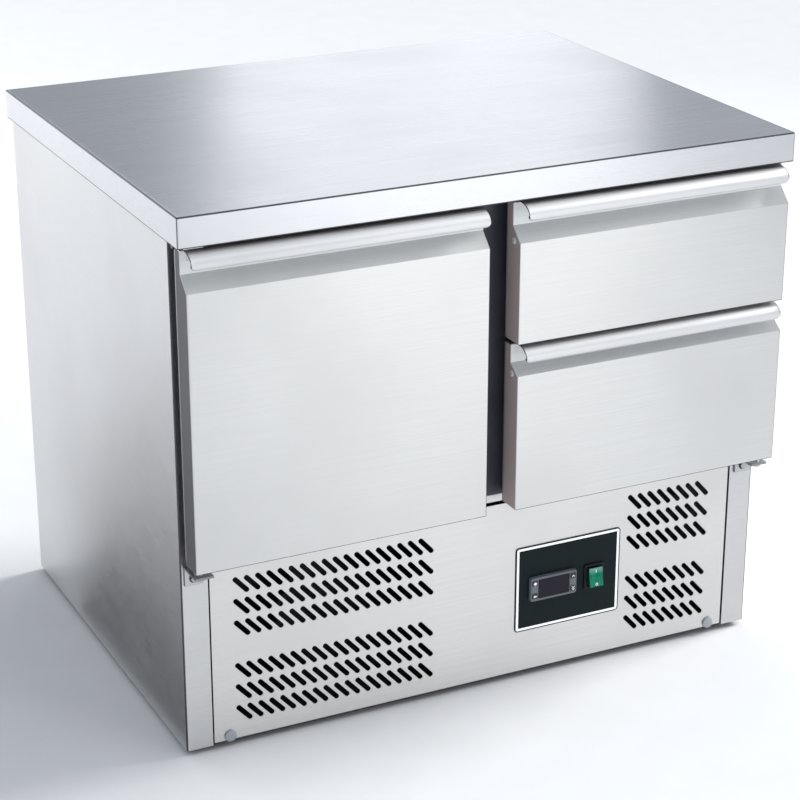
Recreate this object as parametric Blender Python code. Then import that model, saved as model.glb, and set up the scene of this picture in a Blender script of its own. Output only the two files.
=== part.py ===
"""Refrigerated work counter: one door, two drawers and a slotted machine-room grille.

Metres, +Z up, origin on the floor under the middle of the counter. The front looks
along -Y. Every size is a named value below, and every place is worked out from them.
"""

import math

import bpy
import bmesh
from mathutils import Matrix, Vector

# Overall sizes
WORKTOP_WIDTH = 0.900
WORKTOP_DEPTH = 0.700
BODY_HEIGHT = 0.764
WORKTOP_THICKNESS = 0.041
PAD_HEIGHT = 0.008
SIDE_OVERHANG = 0.005
REAR_OVERHANG = 0.010
FACE_PROUD = 0.005
FRAME_SETBACK = 0.048

# Sheet metal and clearances
SHEET = 0.001
HEAVY_SHEET = 0.0015
SEAT_GAP = 0.0003
RUNNING_GAP = 0.0008
OVERRUN = 0.002

# Front layout, heights above the lower edge of the side panels
POST_WIDTH = 0.038
PANEL_SEAM = 0.002
PANEL_BOTTOM = 0.003
PANEL_TOP = 0.272
SILL_BOTTOM = 0.277
SILL_TOP = 0.289
FRONTS_BOTTOM = 0.285
FRONTS_HEADROOM = 0.006
FRONT_MARGIN = 0.003
CENTRE_GAP = 0.044
LOWER_DRAWER_SHARE = 5 / 9
SPLIT_GAP = 0.005

# Foamed cabinet
CAVITY_WALL = 0.051
CAVITY_BOTTOM = 0.312
CAVITY_HEAD_INSET = 0.027
REAR_WALL = 0.082
FRAME_DEPTH = 0.030
MULLION_WIDTH = 0.104
CROSSBAR_HEIGHT = 0.052
CROSSBAR_DROP = 0.002

# Door and drawer fronts
FRONT_THICKNESS = 0.0363
SCOOP_DEPTH = 0.020
SCOOP_RISE = 0.020
SCOOP_HEIGHT = 0.051
LOWER_SCOOP_RISE = 0.014
LOWER_SCOOP_HEIGHT = 0.040
DISH_INSET = 0.052
DISH_DEPTH = 0.012
GASKET_WIDTH = 0.016
GASKET_INSET = 0.008
HINGE_INSET = 0.012
HINGE_SETBACK = 0.022

# Curled handle lip along the top of each front
LIP_SHEET = 0.0012
LIP_PROUD = 0.009
LIP_FLANGE = 0.015
LIP_REACH = 0.024
LIP_NOSE_DROP = 0.0143
LIP_STRAIGHT = 0.003
LIP_CURL = 0.004
DOOR_LIP_INSET = 0.004
DRAWER_LIP_INSET = 0.008
LIP_ARC_STEPS = 6
LIP_CURL_STEPS = 3

# Drawer pans and runners
PAN_WALL = 0.0012
PAN_SIDE_GAP = 0.016
PAN_BACK_GAP = 0.060
PAN_FOOT_GAP = 0.008
PAN_HEAD_GAP = 0.008
RUNNER_WIDTH = 0.0125
RUNNER_HEIGHT = 0.040
RUNNER_WALL = 0.0015
RUNNER_BACK_GAP = 0.0497
RUNNER_RISE = 0.050
RAIL_SHORTENING = 0.030
RAIL_REACH = 0.012
PARTITION_SHEET = 0.002

# Slotted grille panel
SLOT_LENGTH = 0.0315
SLOT_WIDTH = 0.0071
SLOT_SLANT_DEGREES = -48
SLOT_PITCH = 0.0161
SLOT_ROW_PITCH = 0.032
SLOT_TOP_ROW = 0.232
LEFT_SLOTS = 18
RIGHT_SLOTS = 8
LEFT_SLOTS_INSET = 0.0894
RIGHT_SLOTS_INSET = 0.0904
SLOT_ROWS = (0, 1, 2, 4, 5, 6)
SLOT_END_SHARE = 0.5
CAP_RADIUS = 0.0085
CAP_THICKNESS = 0.0035
CAP_HEIGHT = 0.0095
CAP_INSET = 0.068
CAP_PROFILE_SHARES = ((1.0, 0.0), (1.0, 0.35), (0.80, 0.75), (0.45, 0.95), (0.0, 1.0))

# Control plate, thermostat and rocker switch
PLATE_WIDTH = 0.170
PLATE_HEIGHT = 0.132
PLATE_THICKNESS = 0.001
PLATE_CORNER = 0.005
PLATE_INSET = 0.311
PLATE_MIDDLE = 0.132
THERMOSTAT_WIDTH = 0.076
THERMOSTAT_HEIGHT = 0.037
THERMOSTAT_SHIFT = 0.026
THERMOSTAT_MIDDLE = 0.131
THERMOSTAT_RIM = 0.006
BODY_BACK_WIDTH = 0.070
BODY_BACK_HEIGHT = 0.029
BODY_BACK_DEPTH = 0.060
DISPLAY_WIDTH = 0.050
DISPLAY_HEIGHT = 0.029
DISPLAY_DEPTH = 0.002
BUTTON_WIDTH = 0.008
BUTTON_HEIGHT = 0.007
BUTTON_SPREAD_X = 0.031
BUTTON_SPREAD_Z = 0.0100
BUTTON_PROUD = 0.0012
BUTTON_DEPTH = 0.004
BUTTON_WELL = 0.0045
BEZEL_WIDTH = 0.0325
BEZEL_HEIGHT = 0.038
BEZEL_RIM = 0.0025
BEZEL_BACK_WIDTH = 0.0275
BEZEL_BACK_HEIGHT = 0.0345
BEZEL_BACK_DEPTH = 0.025
BEZEL_WALL = 0.002
BEZEL_SHIFT = 0.042
ROCKER_HALF_HEIGHT = 0.0145
ROCKER_RAISED = 0.0090
ROCKER_SUNK = 0.0045
ROCKER_VALLEY = 0.0055
ROCKER_TAIL = 0.0050
ROCKER_TAIL_HALF = 0.0050

# Hinge brackets, bolts and pins
BRACKET_SHEET = 0.003
BRACKET_WIDTH = 0.026
BRACKET_HEIGHT = 0.028
BRACKET_TOP = 0.275
BRACKET_EDGE = 0.005
LEAF_REACH = 0.042
UPPER_LEAF_SHEET = 0.0024
UPPER_TAB_HEIGHT = 0.012
PIN_RADIUS = 0.004
PIN_GRIP = 0.014
PIN_COLLAR_RADIUS = 0.007
PIN_HEAD_RADIUS = 0.0065
PIN_HEAD_HEIGHT = 0.005
PIN_CLEARANCE = 0.0005
BOLT_RADIUS = 0.006
BOLT_HEIGHT = 0.004
BOLT_DROP = 0.017

# Shelf
SHELF_BAR = 0.003
SHELF_THICKNESS = 0.004
SHELF_HEADROOM = 0.200
SHELF_FRONT_GAP = 0.030
SHELF_BACK_GAP = 0.0997
SHELF_BARS = 15
SHELF_SPANS = 2

# Evaporator with its fan
COIL_LEFT_GAP = 0.074
COIL_RIGHT_GAP = 0.072
COIL_HEIGHT = 0.150
COIL_DEPTH = 0.050
COIL_TOP_GAP = 0.012
COIL_FINS = 12
FIN_SHARE = 0.5
FIN_DEPTH_SHARE = 0.35
COVER_SHEET = 0.0012
COVER_GAP = 0.034
FAN_HOLE_RADIUS = 0.060

# Fan blades
BLADE_COUNT = 5
BLADE_LENGTH = 0.034
BLADE_WIDTH = 0.030
BLADE_SHEET = 0.0015
BLADE_PITCH = 0.5
HUB_RADIUS = 0.016
HUB_LENGTH = 0.016
HUB_SHAFT_GAP = 0.0004

# Machine room
COMPRESSOR_RADIUS = 0.075
COMPRESSOR_HEIGHT = 0.165
COMPRESSOR_INSET = 0.185
COMPRESSOR_SETBACK = 0.300
COMPRESSOR_FOOT = 0.090
COMPRESSOR_FOOT_HEIGHT = 0.010
COMPRESSOR_PROFILE_SHARES = (
    (0.0, 1.0), (0.45, 0.98), (0.80, 0.88), (0.97, 0.70), (1.0, 0.55),
    (1.0, 0.40), (0.95, 0.18), (0.75, 0.05), (0.60, 0.0), (0.0, 0.0))
CONDENSER_WIDTH = 0.240
CONDENSER_HEIGHT = 0.200
CONDENSER_DEPTH = 0.060
CONDENSER_INSET = 0.315
CONDENSER_SETBACK = 0.130
CONDENSER_FINS = 14
SHROUD_DEPTH = 0.040
SHROUD_WALL = 0.0015
MOTOR_RADIUS = 0.035
MOTOR_LENGTH = 0.050
MOTOR_ARM = 0.012
SHAFT_RADIUS = 0.003
FAN_PLANE = 0.020
TRAY_WIDTH = 0.260
TRAY_DEPTH = 0.160
TRAY_HEIGHT = 0.030
TRAY_WALL = 0.002
TRAY_INSET = 0.172
PIPE_RADIUS = 0.004
PIPE_HOLE_RADIUS = 0.006

# Base, back and cable gland
PAD_RADIUS = 0.022
PAD_INSET = 0.080
BASE_SHEET = 0.0012
BASE_FLANGE = 0.018
REAR_FLANGE = 0.015
VENT_COLUMNS = 10
VENT_ROWS = 2
VENT_WIDTH = 0.006
VENT_HEIGHT = 0.070
VENT_PITCH = 0.022
VENT_BOTTOM = 0.060
VENT_ROW_PITCH = 0.095
GLAND_RADIUS = 0.011
GLAND_PROUD = 0.008
GLAND_BORE = 0.0045
GLAND_STEM_RADIUS = 0.008
GLAND_STEM = 0.012
GLAND_INSET = 0.085
GLAND_HEIGHT = 0.120

# Facets of the round pieces
ROUND_STEPS = 20
SMALL_STEPS = 12
BOLT_SIDES = 6
CORNER_STEPS = 4

# Places worked out from the sizes
HALF_WIDTH = WORKTOP_WIDTH / 2
WORKTOP_FRONT = (FACE_PROUD + LIP_PROUD - WORKTOP_DEPTH) / 2
WORKTOP_BACK = WORKTOP_FRONT + WORKTOP_DEPTH
FACE = WORKTOP_FRONT - FACE_PROUD
FRAME = WORKTOP_FRONT + FRAME_SETBACK
REAR = WORKTOP_BACK - REAR_OVERHANG
BASE = PAD_HEIGHT
TOP = BASE + BODY_HEIGHT
UNDER = TOP - WORKTOP_THICKNESS
SIDE = HALF_WIDTH - SIDE_OVERHANG
POST_INNER = SIDE - POST_WIDTH
FOAM_FRONT = FRAME + FRAME_DEPTH + SEAT_GAP
BACK_INNER = REAR - SHEET - SEAT_GAP - SHEET
CAVITY_BACK = REAR - REAR_WALL
CAVITY_HALF_WIDTH = SIDE - CAVITY_WALL
FRONTS_TOP = BODY_HEIGHT - WORKTOP_THICKNESS - FRONTS_HEADROOM
CAVITY_TOP = FRONTS_TOP - CAVITY_HEAD_INSET
DRAWER_SPLIT = FRONTS_BOTTOM + (FRONTS_TOP - FRONTS_BOTTOM) * LOWER_DRAWER_SHARE
CROSSBAR_MIDDLE = DRAWER_SPLIT - CROSSBAR_DROP
MULLION = MULLION_WIDTH / 2
FRONT_INNER = CENTRE_GAP / 2
FRONT_OUTER = SIDE - FRONT_MARGIN
PANEL_HALF = POST_INNER - PANEL_SEAM
HINGE_X = -FRONT_OUTER + HINGE_INSET
HINGE_Y = FACE + HINGE_SETBACK
PARTITION_FACE = MULLION
RUNNER_LENGTH = CAVITY_BACK - RUNNER_BACK_GAP - FOAM_FRONT
RAIL_LENGTH = RUNNER_LENGTH - RAIL_SHORTENING
SHELF_HEIGHT = CAVITY_TOP - SHELF_HEADROOM
COIL_LEFT = -CAVITY_HALF_WIDTH + COIL_LEFT_GAP
COIL_RIGHT = PARTITION_FACE - COIL_RIGHT_GAP
COIL_X = (COIL_LEFT + COIL_RIGHT) / 2
PIPE_X = COIL_X
COMPRESSOR_X = COMPRESSOR_INSET - SIDE
CONDENSER_X = SIDE - CONDENSER_INSET
GLAND_X = SIDE - GLAND_INSET
PLATE_MIDDLE_X = HALF_WIDTH - PLATE_INSET
THERMOSTAT_X = PLATE_MIDDLE_X - THERMOSTAT_SHIFT
BEZEL_X = PLATE_MIDDLE_X + BEZEL_SHIFT


def level(height):
    """World height of a height above the lower edge of the side panels."""
    return BASE + height


def finish(name, colour, roughness, metallic=0.0, alpha=1.0):
    """A material with one Principled shader."""
    material = bpy.data.materials.new(name)
    material.use_nodes = True
    shader = material.node_tree.nodes["Principled BSDF"]
    shader.inputs["Base Color"].default_value = (*colour, 1.0)
    shader.inputs["Roughness"].default_value = roughness
    shader.inputs["Metallic"].default_value = metallic
    shader.inputs["Alpha"].default_value = alpha
    return material


def add(name, mesh, where, colour_key, carrier=None, smooth=False):
    """Links a mesh as an object at a world place, on its carrier if it has one."""
    item = bpy.data.objects.new(name, mesh)
    bpy.context.scene.collection.objects.link(item)
    item.location = Vector(where) - (carrier.location if carrier else Vector((0, 0, 0)))
    item.parent = carrier
    if colour_key is None:
        item.hide_render = True
        item.display_type = "WIRE"
    else:
        colour, roughness, metallic = FINISHES[colour_key]
        mesh.materials.append(finish(name + "_finish", colour, roughness, metallic))
    if smooth:
        mesh.shade_smooth()
        mesh.set_sharp_from_angle(angle=math.radians(35))
    return item


def mesh_from(name, build):
    """A new mesh filled by a bmesh function, with its faces turned out."""
    mesh = bpy.data.meshes.new(name)
    shape = bmesh.new()
    build(shape)
    bmesh.ops.recalc_face_normals(shape, faces=shape.faces)
    shape.to_mesh(mesh)
    shape.free()
    return mesh


def box(name, low, high, colour_key, carrier=None):
    """A rectangular block between two world corners, its origin at its middle."""
    low, high = Vector(low), Vector(high)
    size = high - low

    def build(shape):
        bmesh.ops.create_cube(shape, size=1)
        bmesh.ops.scale(shape, vec=size, verts=shape.verts)

    return add(name, mesh_from(name, build), (low + high) / 2, colour_key, carrier)


def prism(name, outline, along, start, stop, colour_key, carrier=None, origin=(0, 0, 0)):
    """A flat outline pushed along one axis. The outline holds the two other axes in order."""
    axes = [axis for axis in (0, 1, 2) if axis != along]
    origin = Vector(origin)

    def build(shape):
        ring = []
        for first, second in outline:
            point = [0, 0, 0]
            point[axes[0]] = first - origin[axes[0]]
            point[axes[1]] = second - origin[axes[1]]
            point[along] = start - origin[along]
            ring.append(shape.verts.new(point))
        face = shape.faces.new(ring)
        grown = bmesh.ops.extrude_face_region(shape, geom=[face])
        step = Vector((0, 0, 0))
        step[along] = stop - start
        moved = [part for part in grown["geom"] if isinstance(part, bmesh.types.BMVert)]
        bmesh.ops.translate(shape, verts=moved, vec=step)

    return add(name, mesh_from(name, build), origin, colour_key, carrier)


def turned(name, profile, where, turn, colour_key, carrier=None, steps=ROUND_STEPS):
    """A profile of (radius, height) pairs spun round its own Z, then turned to lie as asked."""
    def build(shape):
        edge = [shape.verts.new((radius, 0, height)) for radius, height in profile]
        lines = [shape.edges.new(pair) for pair in zip(edge, edge[1:])]
        bmesh.ops.spin(shape, geom=edge + lines, cent=(0, 0, 0), axis=(0, 0, 1),
                       angle=2 * math.pi, steps=steps, use_merge=True)
        bmesh.ops.remove_doubles(shape, verts=shape.verts, dist=SEAT_GAP / 10)
        bmesh.ops.transform(shape, matrix=turn, verts=shape.verts)

    return add(name, mesh_from(name, build), where, colour_key, carrier, smooth=True)


def rod_profile(radius, length):
    return ((0, 0), (radius, 0), (radius, length), (0, length))


UPRIGHT = Matrix.Identity(4)
TO_FRONT = Matrix.Rotation(math.radians(90), 4, "X")
TO_BACK = Matrix.Rotation(math.radians(-90), 4, "X")


def apply_boolean(item, other, operation):
    """A Boolean with a hidden helper object."""
    step = item.modifiers.new(operation.title(), "BOOLEAN")
    step.operation = operation
    step.solver = "EXACT"
    step.object = other
    other.hide_render = True
    other.display_type = "WIRE"


def cut(item, other):
    apply_boolean(item, other, "DIFFERENCE")


def weld(item, other):
    apply_boolean(item, other, "UNION")


def helper_box(name, low, high, carrier=None):
    return box(name, low, high, None, carrier)


def carrier_at(name, where):
    """An empty on a joint's axis that carries the pieces which move together."""
    empty = bpy.data.objects.new(name, None)
    bpy.context.scene.collection.objects.link(empty)
    empty.location = where
    return empty


STEEL = (0.62, 0.63, 0.65)
FINISHES = {
    "steel": (STEEL, 0.32, 1.0),
    "liner": ((0.55, 0.56, 0.58), 0.38, 1.0),
    "foam": ((0.82, 0.74, 0.50), 0.90, 0.0),
    "board": ((0.45, 0.33, 0.20), 0.85, 0.0),
    "dark_plastic": ((0.020, 0.022, 0.035), 0.50, 0.0),
    "gasket": ((0.030, 0.030, 0.034), 0.70, 0.0),
    "zinc": ((0.55, 0.56, 0.55), 0.45, 1.0),
    "grey_plastic": ((0.42, 0.43, 0.43), 0.45, 0.0),
    "plate": ((0.010, 0.035, 0.040), 0.35, 0.0),
    "light_plastic": ((0.62, 0.64, 0.64), 0.40, 0.0),
    "display": ((0.006, 0.010, 0.014), 0.10, 0.0),
    "green": ((0.010, 0.180, 0.060), 0.20, 0.0),
    "black_enamel": ((0.012, 0.012, 0.013), 0.40, 0.0),
    "aluminium": ((0.70, 0.71, 0.72), 0.40, 1.0),
    "copper": ((0.70, 0.32, 0.18), 0.35, 1.0),
    "white_wire": ((0.75, 0.75, 0.73), 0.45, 0.0),
}


def make_worktop():
    skin = box("worktop_skin", (-HALF_WIDTH, WORKTOP_FRONT, UNDER),
               (HALF_WIDTH, WORKTOP_BACK, TOP), "steel")
    wall = HEAVY_SHEET
    cut(skin, helper_box("cutter_worktop",
                         (-HALF_WIDTH + wall, WORKTOP_FRONT + wall, UNDER - OVERRUN),
                         (HALF_WIDTH - wall, WORKTOP_BACK - wall, TOP - wall)))
    inset = wall + SEAT_GAP
    box("worktop_core", (-HALF_WIDTH + inset, WORKTOP_FRONT + inset, UNDER),
        (HALF_WIDTH - inset, WORKTOP_BACK - inset, TOP - inset), "board")


def make_side_panel(name, side):
    """One folded sheet: the wall, a wide front post and a narrow rear flange."""
    outer = side * SIDE
    inner = side * (SIDE - SHEET)
    post = side * POST_INNER
    rear = side * (SIDE - REAR_FLANGE)
    outline = ((outer, FRAME), (post, FRAME), (post, FRAME + SHEET), (inner, FRAME + SHEET),
               (inner, REAR - SHEET), (rear, REAR - SHEET), (rear, REAR), (outer, REAR))
    prism(name, outline, 2, BASE, UNDER - SEAT_GAP, "steel",
          origin=(outer, (FRAME + REAR) / 2, BASE))


def slot_cutter(name, centres, middle_y, depth, half_length, half_width, slant):
    """Stretched six-sided slots, all cut at once. Centres are (x, z)."""
    end = half_length - half_width * SLOT_END_SHARE
    corners = ((-half_length, 0), (-end, -half_width), (end, -half_width),
               (half_length, 0), (end, half_width), (-end, half_width))
    cosine, sine = math.cos(slant), math.sin(slant)

    def build(shape):
        for x, z in centres:
            ring = []
            for along, across in corners:
                ring.append(shape.verts.new((x + along * cosine - across * sine,
                                             middle_y - depth / 2,
                                             z + along * sine + across * cosine)))
            face = shape.faces.new(ring)
            grown = bmesh.ops.extrude_face_region(shape, geom=[face])
            moved = [part for part in grown["geom"] if isinstance(part, bmesh.types.BMVert)]
            bmesh.ops.translate(shape, verts=moved, vec=(0, depth, 0))

    return add(name, mesh_from(name, build), (0, 0, 0), None)


def make_grille_panel():
    back = FRAME + SHEET
    panel = box("front_grille_panel", (-PANEL_HALF, FRAME, level(PANEL_BOTTOM)),
                (PANEL_HALF, back, level(PANEL_TOP)), "steel")
    centres = []
    for row in SLOT_ROWS:
        height = level(SLOT_TOP_ROW - row * SLOT_ROW_PITCH)
        for column in range(LEFT_SLOTS):
            centres.append((-HALF_WIDTH + LEFT_SLOTS_INSET + column * SLOT_PITCH, height))
        for column in range(RIGHT_SLOTS):
            centres.append((HALF_WIDTH - RIGHT_SLOTS_INSET - column * SLOT_PITCH, height))
    cut(panel, slot_cutter("cutter_slots", centres, FRAME + SHEET / 2, SHEET + 2 * OVERRUN,
                           SLOT_LENGTH / 2, SLOT_WIDTH / 2, math.radians(SLOT_SLANT_DEGREES)))
    gap = SEAT_GAP
    for name, x, middle, wide, high in (
            ("cutter_panel_thermostat", THERMOSTAT_X, THERMOSTAT_MIDDLE, BODY_BACK_WIDTH,
             BODY_BACK_HEIGHT),
            ("cutter_panel_switch", BEZEL_X, THERMOSTAT_MIDDLE, BEZEL_BACK_WIDTH, BEZEL_BACK_HEIGHT)):
        cut(panel, helper_box(name, (x - wide / 2 - gap, FRAME - OVERRUN,
                                     level(middle) - high / 2 - gap),
                              (x + wide / 2 + gap, back + OVERRUN, level(middle) + high / 2 + gap)))
    for name, side in (("grille_cap_left", -1), ("grille_cap_right", 1)):
        profile = [(0, 0)] + [(radius * CAP_RADIUS, rise * CAP_THICKNESS)
                              for radius, rise in CAP_PROFILE_SHARES]
        turned(name, profile, (side * (HALF_WIDTH - CAP_INSET), FRAME - SEAT_GAP, level(CAP_HEIGHT)),
               TO_FRONT, "grey_plastic", steps=SMALL_STEPS)


def make_controls():
    low = level(PLATE_MIDDLE) - PLATE_HEIGHT / 2
    high = level(PLATE_MIDDLE) + PLATE_HEIGHT / 2
    left = PLATE_MIDDLE_X - PLATE_WIDTH / 2
    right = PLATE_MIDDLE_X + PLATE_WIDTH / 2
    outline = []
    for x, z, start in ((right - PLATE_CORNER, high - PLATE_CORNER, 0),
                        (left + PLATE_CORNER, high - PLATE_CORNER, 90),
                        (left + PLATE_CORNER, low + PLATE_CORNER, 180),
                        (right - PLATE_CORNER, low + PLATE_CORNER, 270)):
        for step in range(CORNER_STEPS + 1):
            angle = math.radians(start + 90 * step / CORNER_STEPS)
            outline.append((x + PLATE_CORNER * math.cos(angle), z + PLATE_CORNER * math.sin(angle)))
    plate_back = FRAME - SEAT_GAP
    plate_front = plate_back - PLATE_THICKNESS
    plate = prism("control_plate", outline, 1, plate_front, plate_back, "plate",
                  origin=(PLATE_MIDDLE_X, plate_back, level(PLATE_MIDDLE)))
    middle = level(THERMOSTAT_MIDDLE)
    gap = SEAT_GAP
    for name, x, wide, tall in (
            ("cutter_plate_thermostat", THERMOSTAT_X, BODY_BACK_WIDTH, BODY_BACK_HEIGHT),
            ("cutter_plate_switch", BEZEL_X, BEZEL_BACK_WIDTH, BEZEL_BACK_HEIGHT)):
        cut(plate, helper_box(name, (x - wide / 2 - gap, plate_front - OVERRUN, middle - tall / 2 - gap),
                              (x + wide / 2 + gap, plate_back + OVERRUN, middle + tall / 2 + gap)))
    rim_back = plate_front - SEAT_GAP
    rim_front = rim_back - THERMOSTAT_RIM
    housing = box("thermostat_housing",
                  (THERMOSTAT_X - THERMOSTAT_WIDTH / 2, rim_front, middle - THERMOSTAT_HEIGHT / 2),
                  (THERMOSTAT_X + THERMOSTAT_WIDTH / 2, rim_back, middle + THERMOSTAT_HEIGHT / 2),
                  "light_plastic")
    weld(housing, helper_box("helper_thermostat_body",
                             (THERMOSTAT_X - BODY_BACK_WIDTH / 2, rim_back - OVERRUN,
                              middle - BODY_BACK_HEIGHT / 2),
                             (THERMOSTAT_X + BODY_BACK_WIDTH / 2, rim_back + BODY_BACK_DEPTH,
                              middle + BODY_BACK_HEIGHT / 2)))
    cut(housing, helper_box("cutter_display",
                            (THERMOSTAT_X - DISPLAY_WIDTH / 2 - gap, rim_front - OVERRUN,
                             middle - DISPLAY_HEIGHT / 2 - gap),
                            (THERMOSTAT_X + DISPLAY_WIDTH / 2 + gap, rim_front + DISPLAY_DEPTH + gap,
                             middle + DISPLAY_HEIGHT / 2 + gap)))
    box("thermostat_display", (THERMOSTAT_X - DISPLAY_WIDTH / 2, rim_front, middle - DISPLAY_HEIGHT / 2),
        (THERMOSTAT_X + DISPLAY_WIDTH / 2, rim_front + DISPLAY_DEPTH, middle + DISPLAY_HEIGHT / 2),
        "display")
    for name, side, up in (("button_light", -1, 1), ("button_set", -1, -1),
                           ("button_up", 1, 1), ("button_down", 1, -1)):
        x = THERMOSTAT_X + side * BUTTON_SPREAD_X
        z = middle + up * BUTTON_SPREAD_Z
        slide = carrier_at("carrier_" + name, (x, rim_front, z))
        half_w = BUTTON_WIDTH / 2
        half_h = BUTTON_HEIGHT / 2
        box(name, (x - half_w, rim_front - BUTTON_PROUD, z - half_h),
            (x + half_w, rim_front - BUTTON_PROUD + BUTTON_DEPTH, z + half_h), "dark_plastic", slide)
        cut(housing, helper_box("cutter_" + name, (x - half_w - gap, rim_front - OVERRUN,
                                                   z - half_h - gap),
                                (x + half_w + gap, rim_front + BUTTON_WELL, z + half_h + gap)))
    bezel_front = rim_back - BEZEL_RIM
    bezel = box("switch_bezel", (BEZEL_X - BEZEL_WIDTH / 2, bezel_front, middle - BEZEL_HEIGHT / 2),
                (BEZEL_X + BEZEL_WIDTH / 2, rim_back, middle + BEZEL_HEIGHT / 2), "dark_plastic")
    weld(bezel, helper_box("helper_bezel_body",
                           (BEZEL_X - BEZEL_BACK_WIDTH / 2, rim_back - OVERRUN / 2,
                            middle - BEZEL_BACK_HEIGHT / 2),
                           (BEZEL_X + BEZEL_BACK_WIDTH / 2, rim_back + BEZEL_BACK_DEPTH,
                            middle + BEZEL_BACK_HEIGHT / 2)))
    cut(bezel, helper_box("cutter_bezel",
                          (BEZEL_X - BEZEL_BACK_WIDTH / 2 + BEZEL_WALL, bezel_front - OVERRUN,
                           middle - BEZEL_BACK_HEIGHT / 2 + BEZEL_WALL),
                          (BEZEL_X + BEZEL_BACK_WIDTH / 2 - BEZEL_WALL,
                           rim_back + BEZEL_BACK_DEPTH - BEZEL_WALL,
                           middle + BEZEL_BACK_HEIGHT / 2 - BEZEL_WALL)))
    pivot = carrier_at("carrier_rocker", (BEZEL_X, bezel_front, middle))
    rocker_outline = ((bezel_front - ROCKER_SUNK, middle + ROCKER_HALF_HEIGHT),
                      (bezel_front - ROCKER_VALLEY, middle),
                      (bezel_front - ROCKER_RAISED, middle - ROCKER_HALF_HEIGHT),
                      (bezel_front + ROCKER_TAIL, middle - ROCKER_TAIL_HALF),
                      (bezel_front + ROCKER_TAIL, middle + ROCKER_TAIL_HALF))
    rocker_half = BEZEL_BACK_WIDTH / 2 - BEZEL_WALL - SEAT_GAP
    prism("rocker_switch", rocker_outline, 0, BEZEL_X - rocker_half, BEZEL_X + rocker_half,
          "green", pivot, origin=(BEZEL_X, bezel_front, middle))


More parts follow.
